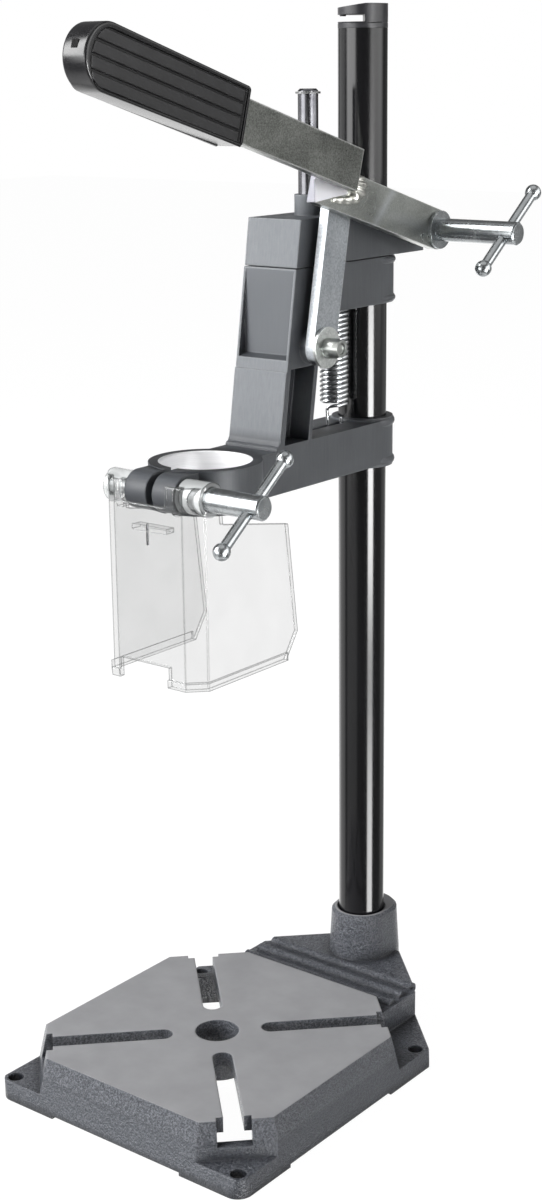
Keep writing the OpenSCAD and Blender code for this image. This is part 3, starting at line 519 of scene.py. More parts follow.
@dataclass(frozen=True)
class LeverZinc(ZincPlate):
    """Zinc on the lever, with a ground facet at the plate's lower front end painted near white as a painted
    reflection.
    """

    dark: Color = (0.25, 0.262, 0.245)
    light: Color = (0.50, 0.515, 0.49)
    rough: float = 0.26
    edge: float = 0.9 * MM
    # facet: near-white painted reflection on the ground facet
    facet: Color = (0.96, 0.95, 1.0)
    end: Color = (0.25, 0.25, 0.28)
    # painted highlight colour for the soft light streaks on the plate
    sheen_highlight: Color = (0.80, 0.84, 0.88)
    fold: tuple[Point, Point] = ((30.2 * MM, 105.6 * MM, -10.0 * MM), (30.2 * MM, 79.0 * MM, 0.5 * MM))
    tilt: float = 14.0
    band_s: float = 50.0 * MM
    band_slant: float = 0.55
    band_half: float = 4.5 * MM
    band_share: float = 0.34
    line_n: float = -2.5 * MM
    line_half: float = 5.0 * MM
    line_share: float = 0.26
    line_s: Span = (62.0 * MM, 20.0 * MM)

    def sheen_highlight_mask(self, g: Graph, axes: LeverFrame) -> Any:
        """A painted highlight: a soft light band across the plate and a line along it.

        Args:
            g: The material's graph.
            axes: The lever's axes.

        Returns:
            The mask's socket.
        """
        pivot = tuple(axes.at(0.0, 0.0, 0.0))
        spot = g.node("VectorMath", {0: g.place, 1: pivot}, operation="SUBTRACT").outputs["Vector"]
        s, n = (g.dot(spot, tuple(axes.along(*way))) for way in ((1.0, 0.0), (0.0, 1.0)))
        off_band = g.math("SUBTRACT", g.weighted((s, 1.0), (n, self.band_slant)), self.band_s)
        off_line = g.math("SUBTRACT", n, self.line_n)
        across = g.between(g.math("ABSOLUTE", off_band), 0.0, self.band_half, self.band_share, 0.0)
        along = g.between(g.math("ABSOLUTE", off_line), 0.0, self.line_half, self.line_share, 0.0)
        return g.math("ADD", across, g.times(along, g.between(s, *self.line_s)))

    def material(self) -> Material:
        """Build the material, with facet and end face told apart by their normals.

        Returns:
            The material.
        """
        g = Graph(self.name)
        plated = self.plating(g)
        axes = LeverFrame()
        low, high = (axes.at(*p) for p in self.fold)
        up = Vector(RIGHT).cross((high - low).normalized())
        up = up if up.z > 0.0 else -up
        a = radians(self.tilt)
        ground = g.toward(Vector(RIGHT) * cos(a) + up * sin(a), 0.990, 0.995)
        cut = g.toward(axes.along(1.0, 0.0), 0.97, 0.99)
        # painted highlight: soft light streaks across and along the plate
        color = g.mix(self.sheen_highlight_mask(g, axes), plated["Base Color"], self.sheen_highlight)
        # painted reflection: the ground facet is painted near white
        plated["Base Color"] = g.mix(cut, g.mix(ground, color, self.facet), self.end)
        plated["Metallic"] = g.lerp(cut, g.lerp(ground, plated["Metallic"], 0.3), 0.1)
        plated["Roughness"] = g.lerp(g.math("MAXIMUM", ground, cut), plated["Roughness"], 0.5)
        return g.surface(plated)


@dataclass(frozen=True)
class BrightSteel:
    """Bright plated or ground round steel with faint turning marks."""

    name: str
    dark: Color
    light: Color
    rough: float
    edge_r: float = 0.3 * MM
    relief: float = 0.005 * MM

    def material(self) -> Material:
        """Build the material.

        Returns:
            The material.
        """
        g = Graph(self.name)
        rounded = g.round_edges(self.edge_r)[0]
        cloud = g.noise(120.0, 4.0)
        marks = g.streaks((2600.0, 160.0, 160.0))
        tone = g.between(g.weighted((cloud, 0.8), (marks, 0.2)), 0.35, 0.65)
        return g.surface({
            "Base Color": g.mix(tone, self.dark, self.light), "Metallic": 1.0,
            "Roughness": g.between(cloud, *NOISE, self.rough, self.rough + 0.06),
            "Normal": g.bump(marks, self.relief, 0.2, rounded)})


@dataclass(frozen=True)
class MouldedPlastic:
    """Black moulded plastic with fine spark grain."""

    name: str
    color: Color = (0.014, 0.014, 0.016)
    light: Color = (0.024, 0.024, 0.027)
    rough: float = 0.42
    grain: float = 2400.0
    relief: float = 0.05 * MM
    edge_r: float = 0.5 * MM

    def material(self) -> Material:
        """Build the material.

        Returns:
            The material.
        """
        g = Graph(self.name)
        rounded = g.round_edges(self.edge_r)[0]
        grain = g.noise(self.grain, 3.0, 0.6)
        cloud = g.noise(90.0, 2.0)
        return g.surface({
            "Base Color": g.mix(g.between(cloud, 0.35, 0.65), self.color, self.light),
            "Roughness": g.between(grain, *NOISE, self.rough - 0.06, self.rough + 0.08),
            "Normal": g.bump(grain, self.relief, 0.5, rounded)})


@dataclass(frozen=True)
class ClearPlastic:
    """Clear moulded plastic: walls that dim what is behind them, and edges that catch light; the edges and
    the front-left chamfer are painted grey for the dark refraction of thick plastic, and the hubs pale for
    their bright refraction.
    """

    name: str = "clear_plastic"
    wall: Color = (0.12, 0.125, 0.125)
    # edge and corner: painted grey for the dark refraction at thick edges and the front-left chamfer
    edge: Color = (0.060, 0.066, 0.066)
    corner: Color = (0.045, 0.050, 0.050)
    wall_alpha: Span = (0.085, 0.105)
    front_alpha: float = 0.03
    corner_alpha: float = 0.40
    corner_aim: Point = (-0.7071, -0.7071, 0.0)
    edge_alpha: float = 0.74
    edge_r: float = 1.1 * MM
    # pale colour: painted light for the bright refraction in the thick hubs
    hub: Color = (0.56, 0.575, 0.575)
    hub_alpha: float = 0.56
    hub_r: Span = (8.5 * MM, 8.3 * MM)
    hub_axis: Span = (-31.7 * MM, 318.9 * MM)
    rough: float = 0.08

    def material(self) -> Material:
        """Build the material.

        Returns:
            The material.
        """
        g = Graph(self.name)
        rounded, edge = g.round_edges(self.edge_r)
        edge = g.between(edge, 0.05, 0.5)
        wave = g.noise(60.0, 2.0)
        ahead = g.math("ABSOLUTE", g.dot(g.facing(), FRONT))
        front = g.between(ahead, 0.4, 1.0, 0.0, self.front_alpha)
        # painted dark refraction: the front-left chamfer is greyer and more opaque
        corner = g.toward(self.corner_aim, 0.95, 0.98)
        wall = g.math("ADD", front, g.between(wave, *NOISE, *self.wall_alpha))
        off_y, off_z = (g.math("SUBTRACT", v, c) for v, c in zip(g.axes()[1:3], self.hub_axis))
        # painted light: the thick hubs are paler and more opaque, for their bright refraction
        hub = g.between(g.away(off_y, off_z), *self.hub_r)
        plain = g.lerp(hub, g.lerp(corner, wall, self.corner_alpha), self.hub_alpha)
        color = g.mix(hub, g.mix(corner, self.wall, self.corner), self.hub)
        return g.surface({
            "Base Color": g.mix(edge, color, self.edge), "Alpha": g.lerp(edge, plain, self.edge_alpha),
            "Roughness": self.rough, "Normal": rounded, "Specular IOR Level": g.lerp(corner, 1.0, 0.0)})


# Mesh helpers


class MeshPen:
    """Collects rings and faces of one piece and turns them into an object."""

    def __init__(self) -> None:
        """Start with an empty mesh."""
        self.bm = bmesh.new()

    def ring(self, points: Sequence[Vector]) -> list[Any]:
        """Add a ring of vertices, by its corners in order."""
        return [self.bm.verts.new(p) for p in points]

    def skin(self, rings: Sequence[list[Any]], close_ends: bool = True) -> None:
        """Join rings of the same length with quads.

        Args:
            rings: Rings in order.
            close_ends: Whether the first and last ring get a face.
        """
        count = len(rings[0])
        for low, high in zip(rings, rings[1:]):
            for i in range(count):
                j = (i + 1) % count
                self.bm.faces.new((low[i], low[j], high[j], high[i]))
        if close_ends:
            self.bm.faces.new(list(reversed(rings[0])))
            self.bm.faces.new(rings[-1])

    def tube(self, path: Sequence[Vector], radius: Callable[[float], float], sides: int) -> None:
        """Sweep a round tube along a path.

        Args:
            path: Centre line.
            radius: Radius for a share of the path's length in points.
            sides: Corners of each ring.
        """
        last = len(path) - 1
        normal = Vector(RIGHT)
        rings = []
        for i, centre in enumerate(path):
            along = (path[min(i + 1, last)] - path[max(i - 1, 0)]).normalized()
            normal = (normal - along * normal.dot(along)).normalized()
            across = along.cross(normal)
            r = radius(i / last)
            rings.append(self.ring([centre + (normal * cos(a) + across * sin(a)) * r
                                    for a in (2.0 * pi * k / sides for k in range(sides))]))
        self.skin(rings)

    def finish(self, name: str, material: Material, smooth: float | None = None) -> bpy.types.Object:
        """Close the mesh and link it as an object.

        Args:
            name: The piece's name.
            material: Its finish.
            smooth: Angle in degrees up to which faces are shaded smooth, or None for flat.

        Returns:
            The new object.
        """
        bmesh.ops.recalc_face_normals(self.bm, faces=self.bm.faces)
        mesh = bpy.data.meshes.new(name)
        self.bm.to_mesh(mesh)
        self.bm.free()
        mesh.materials.append(material)
        made = bpy.data.objects.new(name, mesh)
        bpy.context.scene.collection.objects.link(made)
        if smooth is not None:
            mesh.shade_smooth()
            mesh.set_sharp_from_angle(angle=radians(smooth))
        LOG.info("piece %s with %d faces", name, len(mesh.polygons))
        return made


def bullet(front: float, reach: float, middle: float, nose: float, back: float, half: float,
           corner: float) -> Outline:
    """A closed side outline with a round front and two rounded back corners.

    Args:
        front: Where the round front starts.
        reach: How far the round front stands out.
        middle: Height of the middle line.
        nose: Half the height at the front.
        back: Position of the back edge.
        half: Half the height at the back.
        corner: Radius of the back corners.

    Returns:
        The outline's points (s, n), seen from +X.
    """
    nose_steps, corner_steps = 30, 5
    points = []
    for k in range(nose_steps + 1):
        a = pi / 2 - pi * k / nose_steps
        points.append((front + reach * cos(a), middle + nose * sin(a)))
    for sign in (-1.0, 1.0):
        for k in range(corner_steps + 1):
            a = pi / 2 * (k / corner_steps if sign < 0 else 1 - k / corner_steps)
            points.append((back + corner * (1.0 - sin(a)),
                           middle + sign * (half - corner * (1.0 - cos(a)))))
    return points


def dress(frame: Frame, finish: Finish, *nodes: str) -> None:
    """Give CAD nodes one finish.

    Args:
        frame: The loaded frame.
        finish: The finish.
        nodes: The nodes' names.
    """
    material = finish.material()
    for node in nodes:
        mesh = frame["nodes"][node].data
        mesh.materials.clear()
        mesh.materials.append(material)
        LOG.info("node %s wears %s", node, material.name)


# Sub-assemblies


@dataclass
class TableBase:
    """The cast table with its socket screw."""

    casting: HammeredCasting = HammeredCasting()
    screw: ZincPlate = ZincPlate("black_steel", (0.05, 0.05, 0.055), (0.10, 0.10, 0.105), 0.38)

    def dress(self, frame: Frame) -> None:
        """Finish the CAD nodes."""
        dress(frame, self.casting, "base_casting")
        dress(frame, self.screw, "column_screw")


@dataclass
class Column:
    """The tube and its cap."""

    tube: GlossPaint = GlossPaint()
    cap: MouldedPlastic = MouldedPlastic("cap_plastic", rough=0.34)

    def dress(self, frame: Frame) -> None:
        """Finish the CAD nodes."""
        dress(frame, self.tube, "column_tube")
        dress(frame, self.cap, "column_cap")


@dataclass
class ReturnSpring:
    """The tension spring from the head's pin to the carriage's pin.

    The tips are heights over and under the hooks' centres. Each bend leads from a hook into the
    curls: offset along X, share of the curls' radius and distance from the curls' end.
    """

    centre_y: float = 103.1 * MM
    outer_d: float = 15.2 * MM
    wire_d: float = 2.3 * MM
    hook_d: float = 1.6 * MM
    hook_share: float = 0.036
    hook_ease: float = 0.03
    curls: int = 31
    steps: int = 20
    sides: int = 10
    low_z: float = 340.5 * MM
    high_z: float = 415.4 * MM
    lead: float = 2.6 * MM
    hook_r: float = 5.5 * MM
    hook_low_z: float = 326.525 * MM
    hook_high_z: float = 424.575 * MM
    low_tip: Span = (6.6 * MM, 4.2 * MM)
    high_tip: Span = (-1.6 * MM, -3.6 * MM)
    bends: tuple[Point, ...] = ((0.06 * MM, 1.0, 2.2 * MM), (0.25 * MM, 1.0, 1.5 * MM),
                                (0.6 * MM, 1.0, 0.9 * MM), (1.2 * MM, 0.99, 0.35 * MM))
    finish: BrightSteel = BrightSteel("spring_wire", (0.40, 0.41, 0.42), (0.58, 0.59, 0.60), 0.2)

    def path(self) -> list[Vector]:
        """Lay out the wire's centre line.

        Returns:
            Its points, from the lower hook's tip to the upper one's.
        """
        r = (self.outer_d - self.wire_d) / 2.0
        hook = self.hook_r
        turn = [pi * k / self.steps for k in range(self.steps + 1)]
        points: list[Point] = [(0.0, hook, self.hook_low_z + tip) for tip in self.low_tip]
        points += [(0.0, hook * cos(a), self.hook_low_z - hook * sin(a)) for a in turn]
        rise = self.low_z - self.lead - self.hook_low_z
        points += [(0.0, -hook - (r - hook) * t, self.hook_low_z + rise * t) for t in (0.25, 0.5, 0.75)]
        points += [(x, -r * pull, self.low_z - drop) for x, pull, drop in self.bends]
        pitch = (self.high_z - self.low_z) / self.curls
        for i in range(2, self.curls * self.steps - 1):
            a = -pi / 2 + 2 * pi * i / self.steps
            points.append((r * cos(a), r * sin(a), self.low_z + pitch * i / self.steps))
        points += [(-x, -r * pull, self.high_z + drop) for x, pull, drop in reversed(self.bends)]
        start = self.high_z + self.lead
        points += [(0.0, -r + (r - hook) * t, start + (self.hook_high_z - start) * t) for t in (0.4, 0.7)]
        points += [(0.0, hook * cos(a), self.hook_high_z + hook * sin(a)) for a in reversed(turn)]
        points += [(0.0, hook, self.hook_high_z + tip) for tip in self.high_tip]
        return [Vector((x, y + self.centre_y, z)) for x, y, z in points]

    def radius(self, share: float) -> float:
        """The wire's radius at a share of the path: as drawn in the curls, thinner in the hooks."""
        ramp = (min(share, 1.0 - share) - self.hook_share) / self.hook_ease
        return (self.hook_d + (self.wire_d - self.hook_d) * min(1.0, max(0.0, ramp))) / 2.0

    def build(self) -> None:
        """Make the wire from the head's pin to the carriage's pin, in place of the CAD spring."""
        pen = MeshPen()
        pen.tube(self.path(), self.radius, self.sides)
        spring = pen.finish("return_spring_wire", self.finish.material(), smooth=60.0)
        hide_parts("return_spring")
        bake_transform(spring)


@dataclass
class Lever:
    """Plate, bar, weld, grip and stud of the feed lever.

    Each station of the weld bead is a place along and across the lever, a half width and a height,
    in millimetres.
    """

    axes: LeverFrame = LeverFrame()
    plate_x1: float = 30.2 * MM
    plate_t: float = 5.0 * MM
    bead: tuple[tuple[float, float, float, float], ...] = (
        (93.0, -6.0, 0.9, 0.6), (90.0, -5.4, 1.6, 1.5), (86.0, -4.5, 1.8, 2.0), (81.0, -3.3, 1.9, 2.2),
        (77.2, -1.9, 2.5, 2.6), (75.2, 0.4, 4.6, 3.0), (74.6, 3.2, 6.2, 3.4), (74.6, 6.0, 6.2, 3.3),
        (75.0, 8.4, 4.6, 2.4), (75.4, 9.7, 2.0, 1.0))
    bead_fine: int = 9
    bead_sides: int = 16
    bead_lump: float = 0.15
    bead_rate: float = 0.52
    grip_from: float = 174.8 * MM
    grip_len: float = 104.2 * MM
    grip_h: float = 28.2 * MM
    grip_t: float = 13.5 * MM
    grip_lift: float = 11.8 * MM
    grip_taper: float = 0.9 * MM
    grip_corner: float = 2.0 * MM
    grip_edge: float = 1.3 * MM
    grip_edge_steps: int = 10
    panel_lift: float = 10.7 * MM
    panel_half: float = 12.6 * MM
    panel_nose: float = 12.8 * MM
    panel_reach: float = 9.6 * MM
    panel_back: float = 2.0 * MM
    panel_corner: float = 0.4 * MM
    panel_depth: float = 0.9 * MM
    panel_draft: float = 0.25 * MM
    ribs: int = 4
    rib_pitch: float = 6.05 * MM
    rib_gap: float = 1.1 * MM
    rib_back: float = 4.4 * MM
    rib_reach: float = 9.1 * MM
    rib_root: float = 1.1 * MM
    rib_sink: float = 0.12 * MM
    rib_edge: float = 0.3 * MM
    rib_steps: int = 8
    hole_half: float = 1.8 * MM
    hole_depth: float = 3.0 * MM
    hole_proud: float = 0.02 * MM
    plate: LeverZinc = LeverZinc("lever_zinc")
    bar: ZincPlate = ZincPlate(
        "bar_zinc", (0.105, 0.110, 0.100), (0.305, 0.315, 0.295), 0.27, 1900.0, 1.3 * MM)
    weld: ZincPlate = ZincPlate("weld_zinc", (0.50, 0.50, 0.46), (0.76, 0.76, 0.71), 0.26)
    grip: MouldedPlastic = MouldedPlastic(
        "grip_plastic", (0.006, 0.006, 0.007), (0.010, 0.010, 0.011), 0.20, relief=0.012 * MM)
    rib: MouldedPlastic = MouldedPlastic(
        "rib_plastic", (0.0035, 0.0035, 0.004), (0.0075, 0.0075, 0.0085), 0.36, 1600.0)
    # near black finish that paints the shade inside the grip's square hole
    hole: MouldedPlastic = MouldedPlastic("hole_shade", (0.002, 0.002, 0.002), (0.003, 0.003, 0.003), 0.9)

    @property
    def mid(self) -> float:
        """Middle plane of the plate, the bar and the grip along X."""
        return self.plate_x1 + self.plate_t / 2.0

    @property
    def tip(self) -> float:
        """Where the grip ends along the lever."""
        return self.grip_from + self.grip_len

    def dress(self, frame: Frame) -> None:
        """Finish the CAD nodes that stay."""
        dress(frame, self.plate, "lever_plate", "link_stud")
        dress(frame, self.bar, "lever_bar")

    def build_weld(self) -> None:
        """Lay the lumpy bead along the facet's edge and up the bar's rear end."""
        rows = []
        for start, end in zip(self.bead, self.bead[1:]):
            for u in (k / self.bead_fine for k in range(self.bead_fine)):
                rows.append(tuple((1 - u) * p + u * q for p, q in zip(start, end)))
        rows.append(self.bead[-1])
        pen = MeshPen()
        rings = []
        last = len(rows) - 1
        for i, (s, n, wide, high) in enumerate(rows):
            s0, n0 = rows[max(i - 2, 0)][:2]
            s1, n1 = rows[min(i + 2, last)][:2]
            length = hypot(s1 - s0, n1 - n0)
            out_s, out_n = -(n1 - n0) / length, (s1 - s0) / length
            lump = 1.0 + self.bead_lump * sin(i * self.bead_rate)
            ring = []
            for a in (2.0 * pi * k / self.bead_sides for k in range(self.bead_sides)):
                across = wide * lump * cos(a)
                up = high * lump * sin(a)
                ring.append(self.axes.at(self.plate_x1 + up * MM, (s + out_s * across) * MM,
                                         (n + out_n * across) * MM))
            rings.append(pen.ring(ring))
        pen.skin(rings)
        bead = pen.finish("weld_bead", self.weld.material(), smooth=70.0)
        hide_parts("lever_weld")
        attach(bead, Body.LEVER.value)

    def outline(self, inset: float) -> Outline:
        """The grip's side outline, pulled in by an inset."""
        r = self.grip_h / 2.0 - inset
        return bullet(self.tip - self.grip_h / 2.0, r, self.grip_lift, r, self.grip_from + inset,
                      r - self.grip_taper, self.grip_corner - inset)

    def panel(self, inset: float) -> Outline:
        """The sunk side panel's outline, pulled in by an inset."""
        half = self.panel_half - inset
        return bullet(self.tip - self.panel_nose, self.panel_reach - inset, self.panel_lift, half,
                      self.grip_from + self.panel_back + inset, half, self.panel_corner)

    def build_grip(self) -> None:
        """Make the moulded grip's body with rounded edges and sunk side panels."""
        half = self.grip_t / 2.0
        edge = self.grip_edge
        turn = [pi / 2 * k / self.grip_edge_steps for k in range(self.grip_edge_steps + 1)]
        side = [(half - edge + edge * cos(a), edge - edge * sin(a)) for a in turn]
        pen = MeshPen()

        def lay(x: float, points: Outline) -> list[Any]:
            """Add an outline as a ring at a distance along X."""
            return pen.ring([self.axes.at(x, s, n) for s, n in points])

        rings = [lay(self.mid - x, self.outline(inset)) for x, inset in side]
        rings += [lay(self.mid + x, self.outline(inset)) for x, inset in reversed(side)]
        pen.skin(rings, close_ends=False)
        for ring, where in ((rings[0], Side.FAR), (rings[-1], Side.NEAR)):
            face = self.mid + where.value * half
            chain = [ring, lay(face, self.panel(0.0)),
                     lay(face - where.value * self.panel_depth, self.panel(self.panel_draft))]
            pen.skin(chain, close_ends=False)
            pen.bm.faces.new(chain[-1])
        body = pen.finish("grip_body", self.grip.material(), smooth=40.0)
        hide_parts("lever_grip")
        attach(body, Body.LEVER.value)

    def rib_outline(self, low: float, high: float, pull: float) -> Outline:
        """One rib's outline in a panel, with a front end that follows the panel's.

        Args:
            low: The rib's lower edge.
            high: Its upper edge.
            pull: How far the outline is pulled in.

        Returns:
            The closed outline.
        """
        back = self.grip_from + self.rib_back + pull
        points = [(back, low + pull)]
        for k in range(self.rib_steps + 1):
            n = low + pull + (high - low - 2.0 * pull) * k / self.rib_steps
            lean = (n - self.panel_lift) / self.panel_half
            reach = self.rib_reach * sqrt(1.0 - lean * lean) - pull
            points.append((self.tip - self.panel_nose + reach, n))
        return points + [(back, high - pull)]

    def build_ribs(self) -> None:
        """Lay the flat lengthwise ribs in the sunk panels."""
        half = self.grip_t / 2.0
        material = self.rib.material()
        levels = ((half - self.rib_root, 0.0), (half - self.rib_sink - self.rib_edge, 0.0),
                  (half - self.rib_sink, self.rib_edge))
        for side in Side:
            pen = MeshPen()
            for i in range(self.ribs):
                low = self.panel_lift + (i - self.ribs / 2) * self.rib_pitch + self.rib_gap / 2.0
                high = low + self.rib_pitch - self.rib_gap
                pen.skin([pen.ring([self.axes.at(self.mid + side.value * x, s, n)
                                    for s, n in self.rib_outline(low, high, pull)]) for x, pull in levels])
            name = "grip_ribs_near" if side is Side.NEAR else "grip_ribs_far"
            ribs = pen.finish(name, material, smooth=30.0)
            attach(ribs, Body.LEVER.value)

    def build_hole(self) -> None:
        """Paint the shade in the square hole in the grip's end with a near black plug sunk into the grip."""
        h = self.hole_half
        pen = MeshPen()
        pen.skin([pen.ring([self.axes.at(self.mid + x, s, self.grip_lift + n)
                            for x, n in ((-h, 0.0), (h, 0.0), (h, 2.0 * h), (-h, 2.0 * h))])
                  for s in (self.tip - self.hole_depth, self.tip + self.hole_proud)])
        plug = pen.finish("grip_end_hole", self.hole.material())
        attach(plug, Body.LEVER.value)

    def build(self) -> None:
        """Make the pieces that stand for CAD nodes."""
        self.build_weld()
        self.build_grip()
        self.build_ribs()
        self.build_hole()


@dataclass
class HeadGroup:
    """Head casting, its clamp and its small hardware."""

    casting: CastPaint = CastPaint()
    hardware: ZincPlate = ZincPlate("hardware_zinc", (0.48, 0.49, 0.48), (0.72, 0.73, 0.72), 0.26, 1400.0)
    bright: BrightSteel = BrightSteel("clamp_steel", (0.33, 0.35, 0.36), (0.47, 0.49, 0.50), 0.23)

    def dress(self, frame: Frame) -> None:
        """Finish the CAD nodes.

        Args:
            frame: The loaded frame.
        """
        dress(frame, self.casting, "head_casting")
        dress(frame, self.hardware, "clamp_nut", "lever_spacer", "spring_pin_upper")
        dress(frame, self.bright, "clamp_bolt", "clamp_washer", "clamp_bar", "collar_bolt", "collar_bar")


@dataclass
class CarriageGroup:
    """Carriage casting, guide rod, link and small hardware."""

    casting: CastPaint = CastPaint("carriage_paint", bore_r=22.6 * MM)
    rod: BrightSteel = BrightSteel("rod_steel", (0.10, 0.10, 0.11), (0.17, 0.17, 0.18), 0.2)
    link: ZincPlate = ZincPlate("link_zinc", (0.33, 0.355, 0.38), (0.55, 0.575, 0.60), 0.28, 1200.0,
                                0.35 * MM, (420.0, 420.0, 30.0), 0.3)
    washer: ZincPlate = ZincPlate(
        "washer_zinc", (0.46, 0.48, 0.47), (0.72, 0.74, 0.72), 0.32, 1200.0, 0.7 * MM)
    hardware: BrightSteel = BrightSteel("pin_steel", (0.70, 0.71, 0.69), (0.88, 0.88, 0.86), 0.36)
    nut: BrightSteel = BrightSteel("nut_steel", (0.26, 0.275, 0.265), (0.42, 0.43, 0.41), 0.3)
    dark: ZincPlate = ZincPlate("dark_clip", (0.08, 0.08, 0.085), (0.16, 0.16, 0.165), 0.34)

    def dress(self, frame: Frame) -> None:
        """Finish the CAD nodes.

        Args:
            frame: The loaded frame.
        """
        dress(frame, self.casting, "carriage_casting")
        dress(frame, self.rod, "guide_rod")
        dress(frame, self.link, "link_bar")
        dress(frame, self.washer, "link_washer")
        dress(frame, self.hardware, "link_pin", "spring_pin_lower", "collar_clip")
        dress(frame, self.nut, "link_nut")
        dress(frame, self.dark, "rod_circlip", "guard_pin")


@dataclass
class ChipGuard:
    """The clear guard."""

    finish: ClearPlastic = ClearPlastic()

    def dress(self, frame: Frame) -> None:
        """Finish the CAD node."""
        dress(frame, self.finish, "chip_guard")


# Studio


@dataclass(frozen=True)
class Softbox:
    """One area lamp that lights the paint but isn't mirrored."""

    name: str
    at: Point
    aim: Point
    width: float
    height: float
    watts: float
    spread: float = 180.0

    def build(self) -> None:
        """Make the lamp."""
        data = bpy.data.lights.new(self.name, "AREA")
        data.shape = "RECTANGLE"
        data.size, data.size_y = self.width, self.height
        data.energy = self.watts
        data.spread = radians(self.spread)
        lamp = bpy.data.objects.new(self.name, data)
        lamp.location = self.at
        lamp.rotation_euler = (Vector(self.aim) - Vector(self.at)).to_track_quat("-Z", "Y").to_euler()
        lamp.visible_glossy = False
        bpy.context.scene.collection.objects.link(lamp)


@dataclass(frozen=True)
class Glow:
    """A soft bright panel of the room, as shiny surfaces mirror it.

    Azimuth runs from the front (-Y) towards +X, elevation from the horizon up, both in degrees.
    """

    azimuth: Span
    elevation: Span
    strength: float
    soft: float = 4.0


class RoomGraph(NodeWriter):
    """The writer for the world."""

    def __init__(self) -> None:
        """Start with an empty world."""
        world = bpy.data.worlds.new("room")
        bpy.context.scene.world = world
        world.use_nodes = True
        super().__init__(world.node_tree)

    def step(self, value: Any, low: float, high: float) -> Any:
        """Rise smoothly from 0 at a low value to 1 at a high one."""
        inputs = {"Value": value, "From Min": low, "From Max": high}
        return self.node("MapRange", inputs, interpolation_type="SMOOTHSTEP").outputs[0]

    def window(self, value: Any, span: Span, soft: float) -> Any:
        """Be 1 inside a span and fall smoothly to 0 outside it, over twice the soft width."""
        rise, fall = (self.step(value, end - soft, end + soft) for end in span)
        return self.math("SUBTRACT", rise, fall)


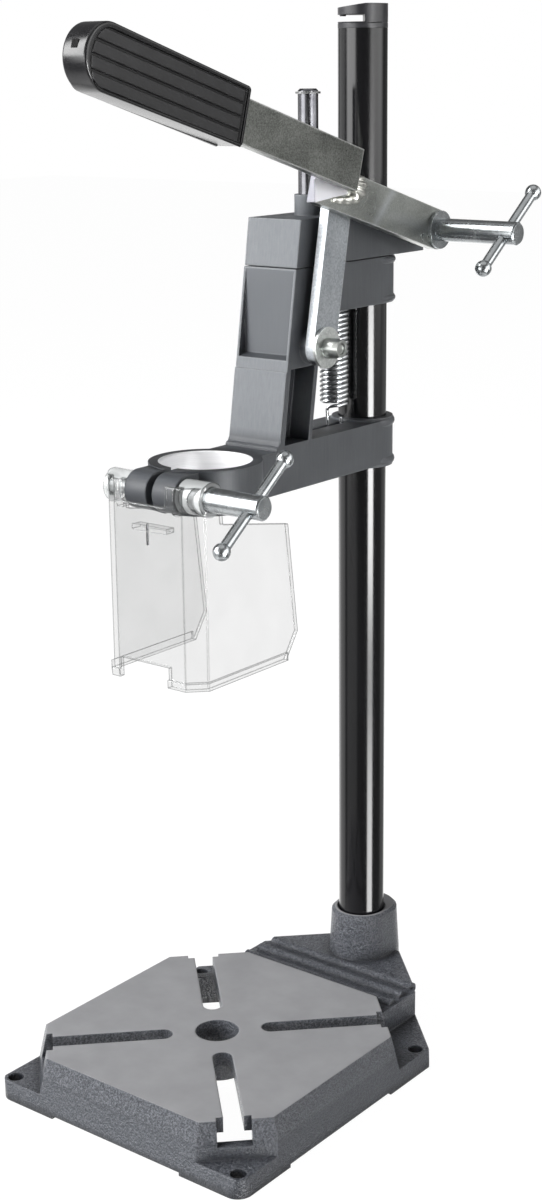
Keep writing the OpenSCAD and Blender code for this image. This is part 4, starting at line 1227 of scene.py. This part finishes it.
@dataclass
class Studio:
    """Camera, lamps, world and floor."""

    frame_h: float = 1200.0
    focal_px: float = 1914.25
    azimuth: float = 38.403
    pitch: float = 15.715
    roll: float = -0.665
    place: Point = (577.66 * MM, -679.94 * MM, 510.09 * MM)
    sensor: float = 36.0
    clip: Span = (0.01, 50.0)
    floor_size: float = 12.0
    floor_glow: float = 1.05
    floor_share: float = 0.93
    floor_paint: tuple[Color, Color] = ((0.85, 0.85, 0.85), (0.87, 0.87, 0.87))
    ambient: float = 0.145
    dim: float = 0.18
    lamps: tuple[Softbox, ...] = (
        Softbox("key_box", (-0.80, -1.50, 1.10), (0.0, 0.06, 0.27), 0.9, 1.4, 73.0),
        Softbox("side_box", (1.25, 1.20, 0.50), (0.0, 0.1, 0.22), 0.4, 1.1, 7.2),
        Softbox("top_box", (-0.3, 0.1, 1.9), (0.0, 0.06, 0.2), 1.2, 1.2, 8.5),
        Softbox("base_box", (1.15, -0.95, 0.26), (0.03, 0.06, 0.02), 0.4, 0.25, 0.28, 24.0),
    )
    glows: tuple[Glow, ...] = (
        Glow((-60, -36), (6, 52), 12.0),
        Glow((-42, 2), (-8, 10), 5.2, 5.0),
        Glow((-42, 12), (-32, -8), 0.45, 5.0),
        Glow((-36, 12), (10, 40), 0.7, 5.0),
        Glow((65, 91), (-15.9, -6), 25.0, 1.0),
        Glow((65, 91), (-34, -19.7), 15.0, 1.0),
        Glow((72, 132), (-6, 30), 2.8, 6.0),
        Glow((118, 168), (8, 40), 1.1),
        Glow((134, 178), (-40, -5), 0.3, 2.0),
        Glow((-176, -96), (-45, -11), 1.4, 3.0),
        Glow((-165, -110), (-2.5, 8), 1.0, 1.5),
        Glow((-96, -56), (-30, 4), 0.9),
        Glow((-90, -15), (-58, -32), 1.0, 6.0),
        Glow((-190, 190), (-95, -50), 0.8, 6.0),
        Glow((-190, 190), (58, 95), 0.7, 6.0),
    )

    def camera(self) -> None:
        """Set the camera that the photograph was taken with."""
        a, p, r = (radians(v) for v in (self.azimuth, self.pitch, self.roll))
        back = Vector((sin(a) * cos(p), -cos(a) * cos(p), sin(p)))
        right = Vector((cos(a), sin(a), 0.0))
        up = back.cross(right)
        x = right * cos(r) + up * sin(r)
        y = up * cos(r) - right * sin(r)
        data = bpy.data.cameras.new("camera")
        data.sensor_fit = "VERTICAL"
        data.sensor_height = data.sensor_width = self.sensor
        data.lens = self.focal_px / self.frame_h * self.sensor
        data.clip_start, data.clip_end = self.clip
        made = bpy.data.objects.new("camera", data)
        turn = Matrix((x, y, back)).transposed().to_4x4()
        made.matrix_world = Matrix.Translation(Vector(self.place)) @ turn
        bpy.context.scene.collection.objects.link(made)
        bpy.context.scene.camera = made

    def world(self) -> None:
        """Light the room softly, show it white to the camera and through glass, and mirror its panels."""
        g = RoomGraph()
        path = g.node("LightPath").outputs
        ray = g.node("TexCoord").outputs["Generated"]
        x, y, z = g.node("SeparateXYZ", {"Vector": ray}).outputs
        azimuth = g.math("DEGREES", g.math("ARCTAN2", x, g.times(y, -1.0)))
        elevation = g.math("DEGREES", g.math("ARCSINE", z))
        mirrored: Any = self.dim
        for glow in self.glows:
            share = g.times(g.window(azimuth, glow.azimuth, glow.soft),
                            g.window(elevation, glow.elevation, glow.soft))
            mirrored = g.math("ADD", mirrored, g.times(share, glow.strength))
        seen = g.math("MAXIMUM", path["Is Camera Ray"], path["Is Transmission Ray"])
        strength = g.lerp(seen, g.lerp(path["Is Glossy Ray"], self.ambient, mirrored), 1.0)
        light = g.node("Background", {"Color": WHITE, "Strength": strength})
        g.node("OutputWorld", {"Surface": light.outputs[0]})

    def floor(self) -> None:
        """Lay the pale floor, which stays white to the camera and keeps a light shadow."""
        pen = MeshPen()
        h = self.floor_size / 2.0
        rim = ((-h, -h, 0.0), (h, -h, 0.0), (h, h, 0.0), (-h, h, 0.0))
        pen.bm.faces.new(pen.ring([Vector(p) for p in rim]))
        g = Graph("pale_floor")
        path = g.node("LightPath").outputs
        matt = g.node("BsdfDiffuse", {"Color": g.mix(g.noise(40.0, 2.0), *self.floor_paint)})
        glow = g.node("Emission", {"Color": WHITE, "Strength": self.floor_glow})
        share = g.times(path["Is Camera Ray"], self.floor_share)
        shown = g.node("MixShader", {0: share, 1: matt.outputs[0], 2: glow.outputs[0]})
        unseen = g.math("MAXIMUM", path["Is Glossy Ray"], path["Is Transmission Ray"])
        clear = g.node("BsdfTransparent")
        mixed = g.node("MixShader", {0: unseen, 1: shown.outputs[0], 2: clear.outputs[0]})
        g.put(g.output.inputs["Surface"], mixed.outputs[0])
        made = pen.finish("floor", g.material)

    def build(self) -> None:
        """Set up the studio."""
        bpy.context.scene.view_settings.view_transform = "Standard"
        self.camera()
        self.world()
        self.floor()
        for lamp in self.lamps:
            lamp.build()
        LOG.info("studio with %d lamps", len(self.lamps))


def main() -> None:
    """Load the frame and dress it."""
    logging.basicConfig(level=logging.INFO, format="%(name)s: %(message)s")
    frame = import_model()
    Studio().build()
    for group in (TableBase(), Column(), HeadGroup(), CarriageGroup(), ChipGuard()):
        group.dress(frame)
    lever = Lever()
    lever.dress(frame)
    lever.build()
    ReturnSpring().build()
    bpy.context.view_layer.update()


if __name__ == "__main__":
    main()
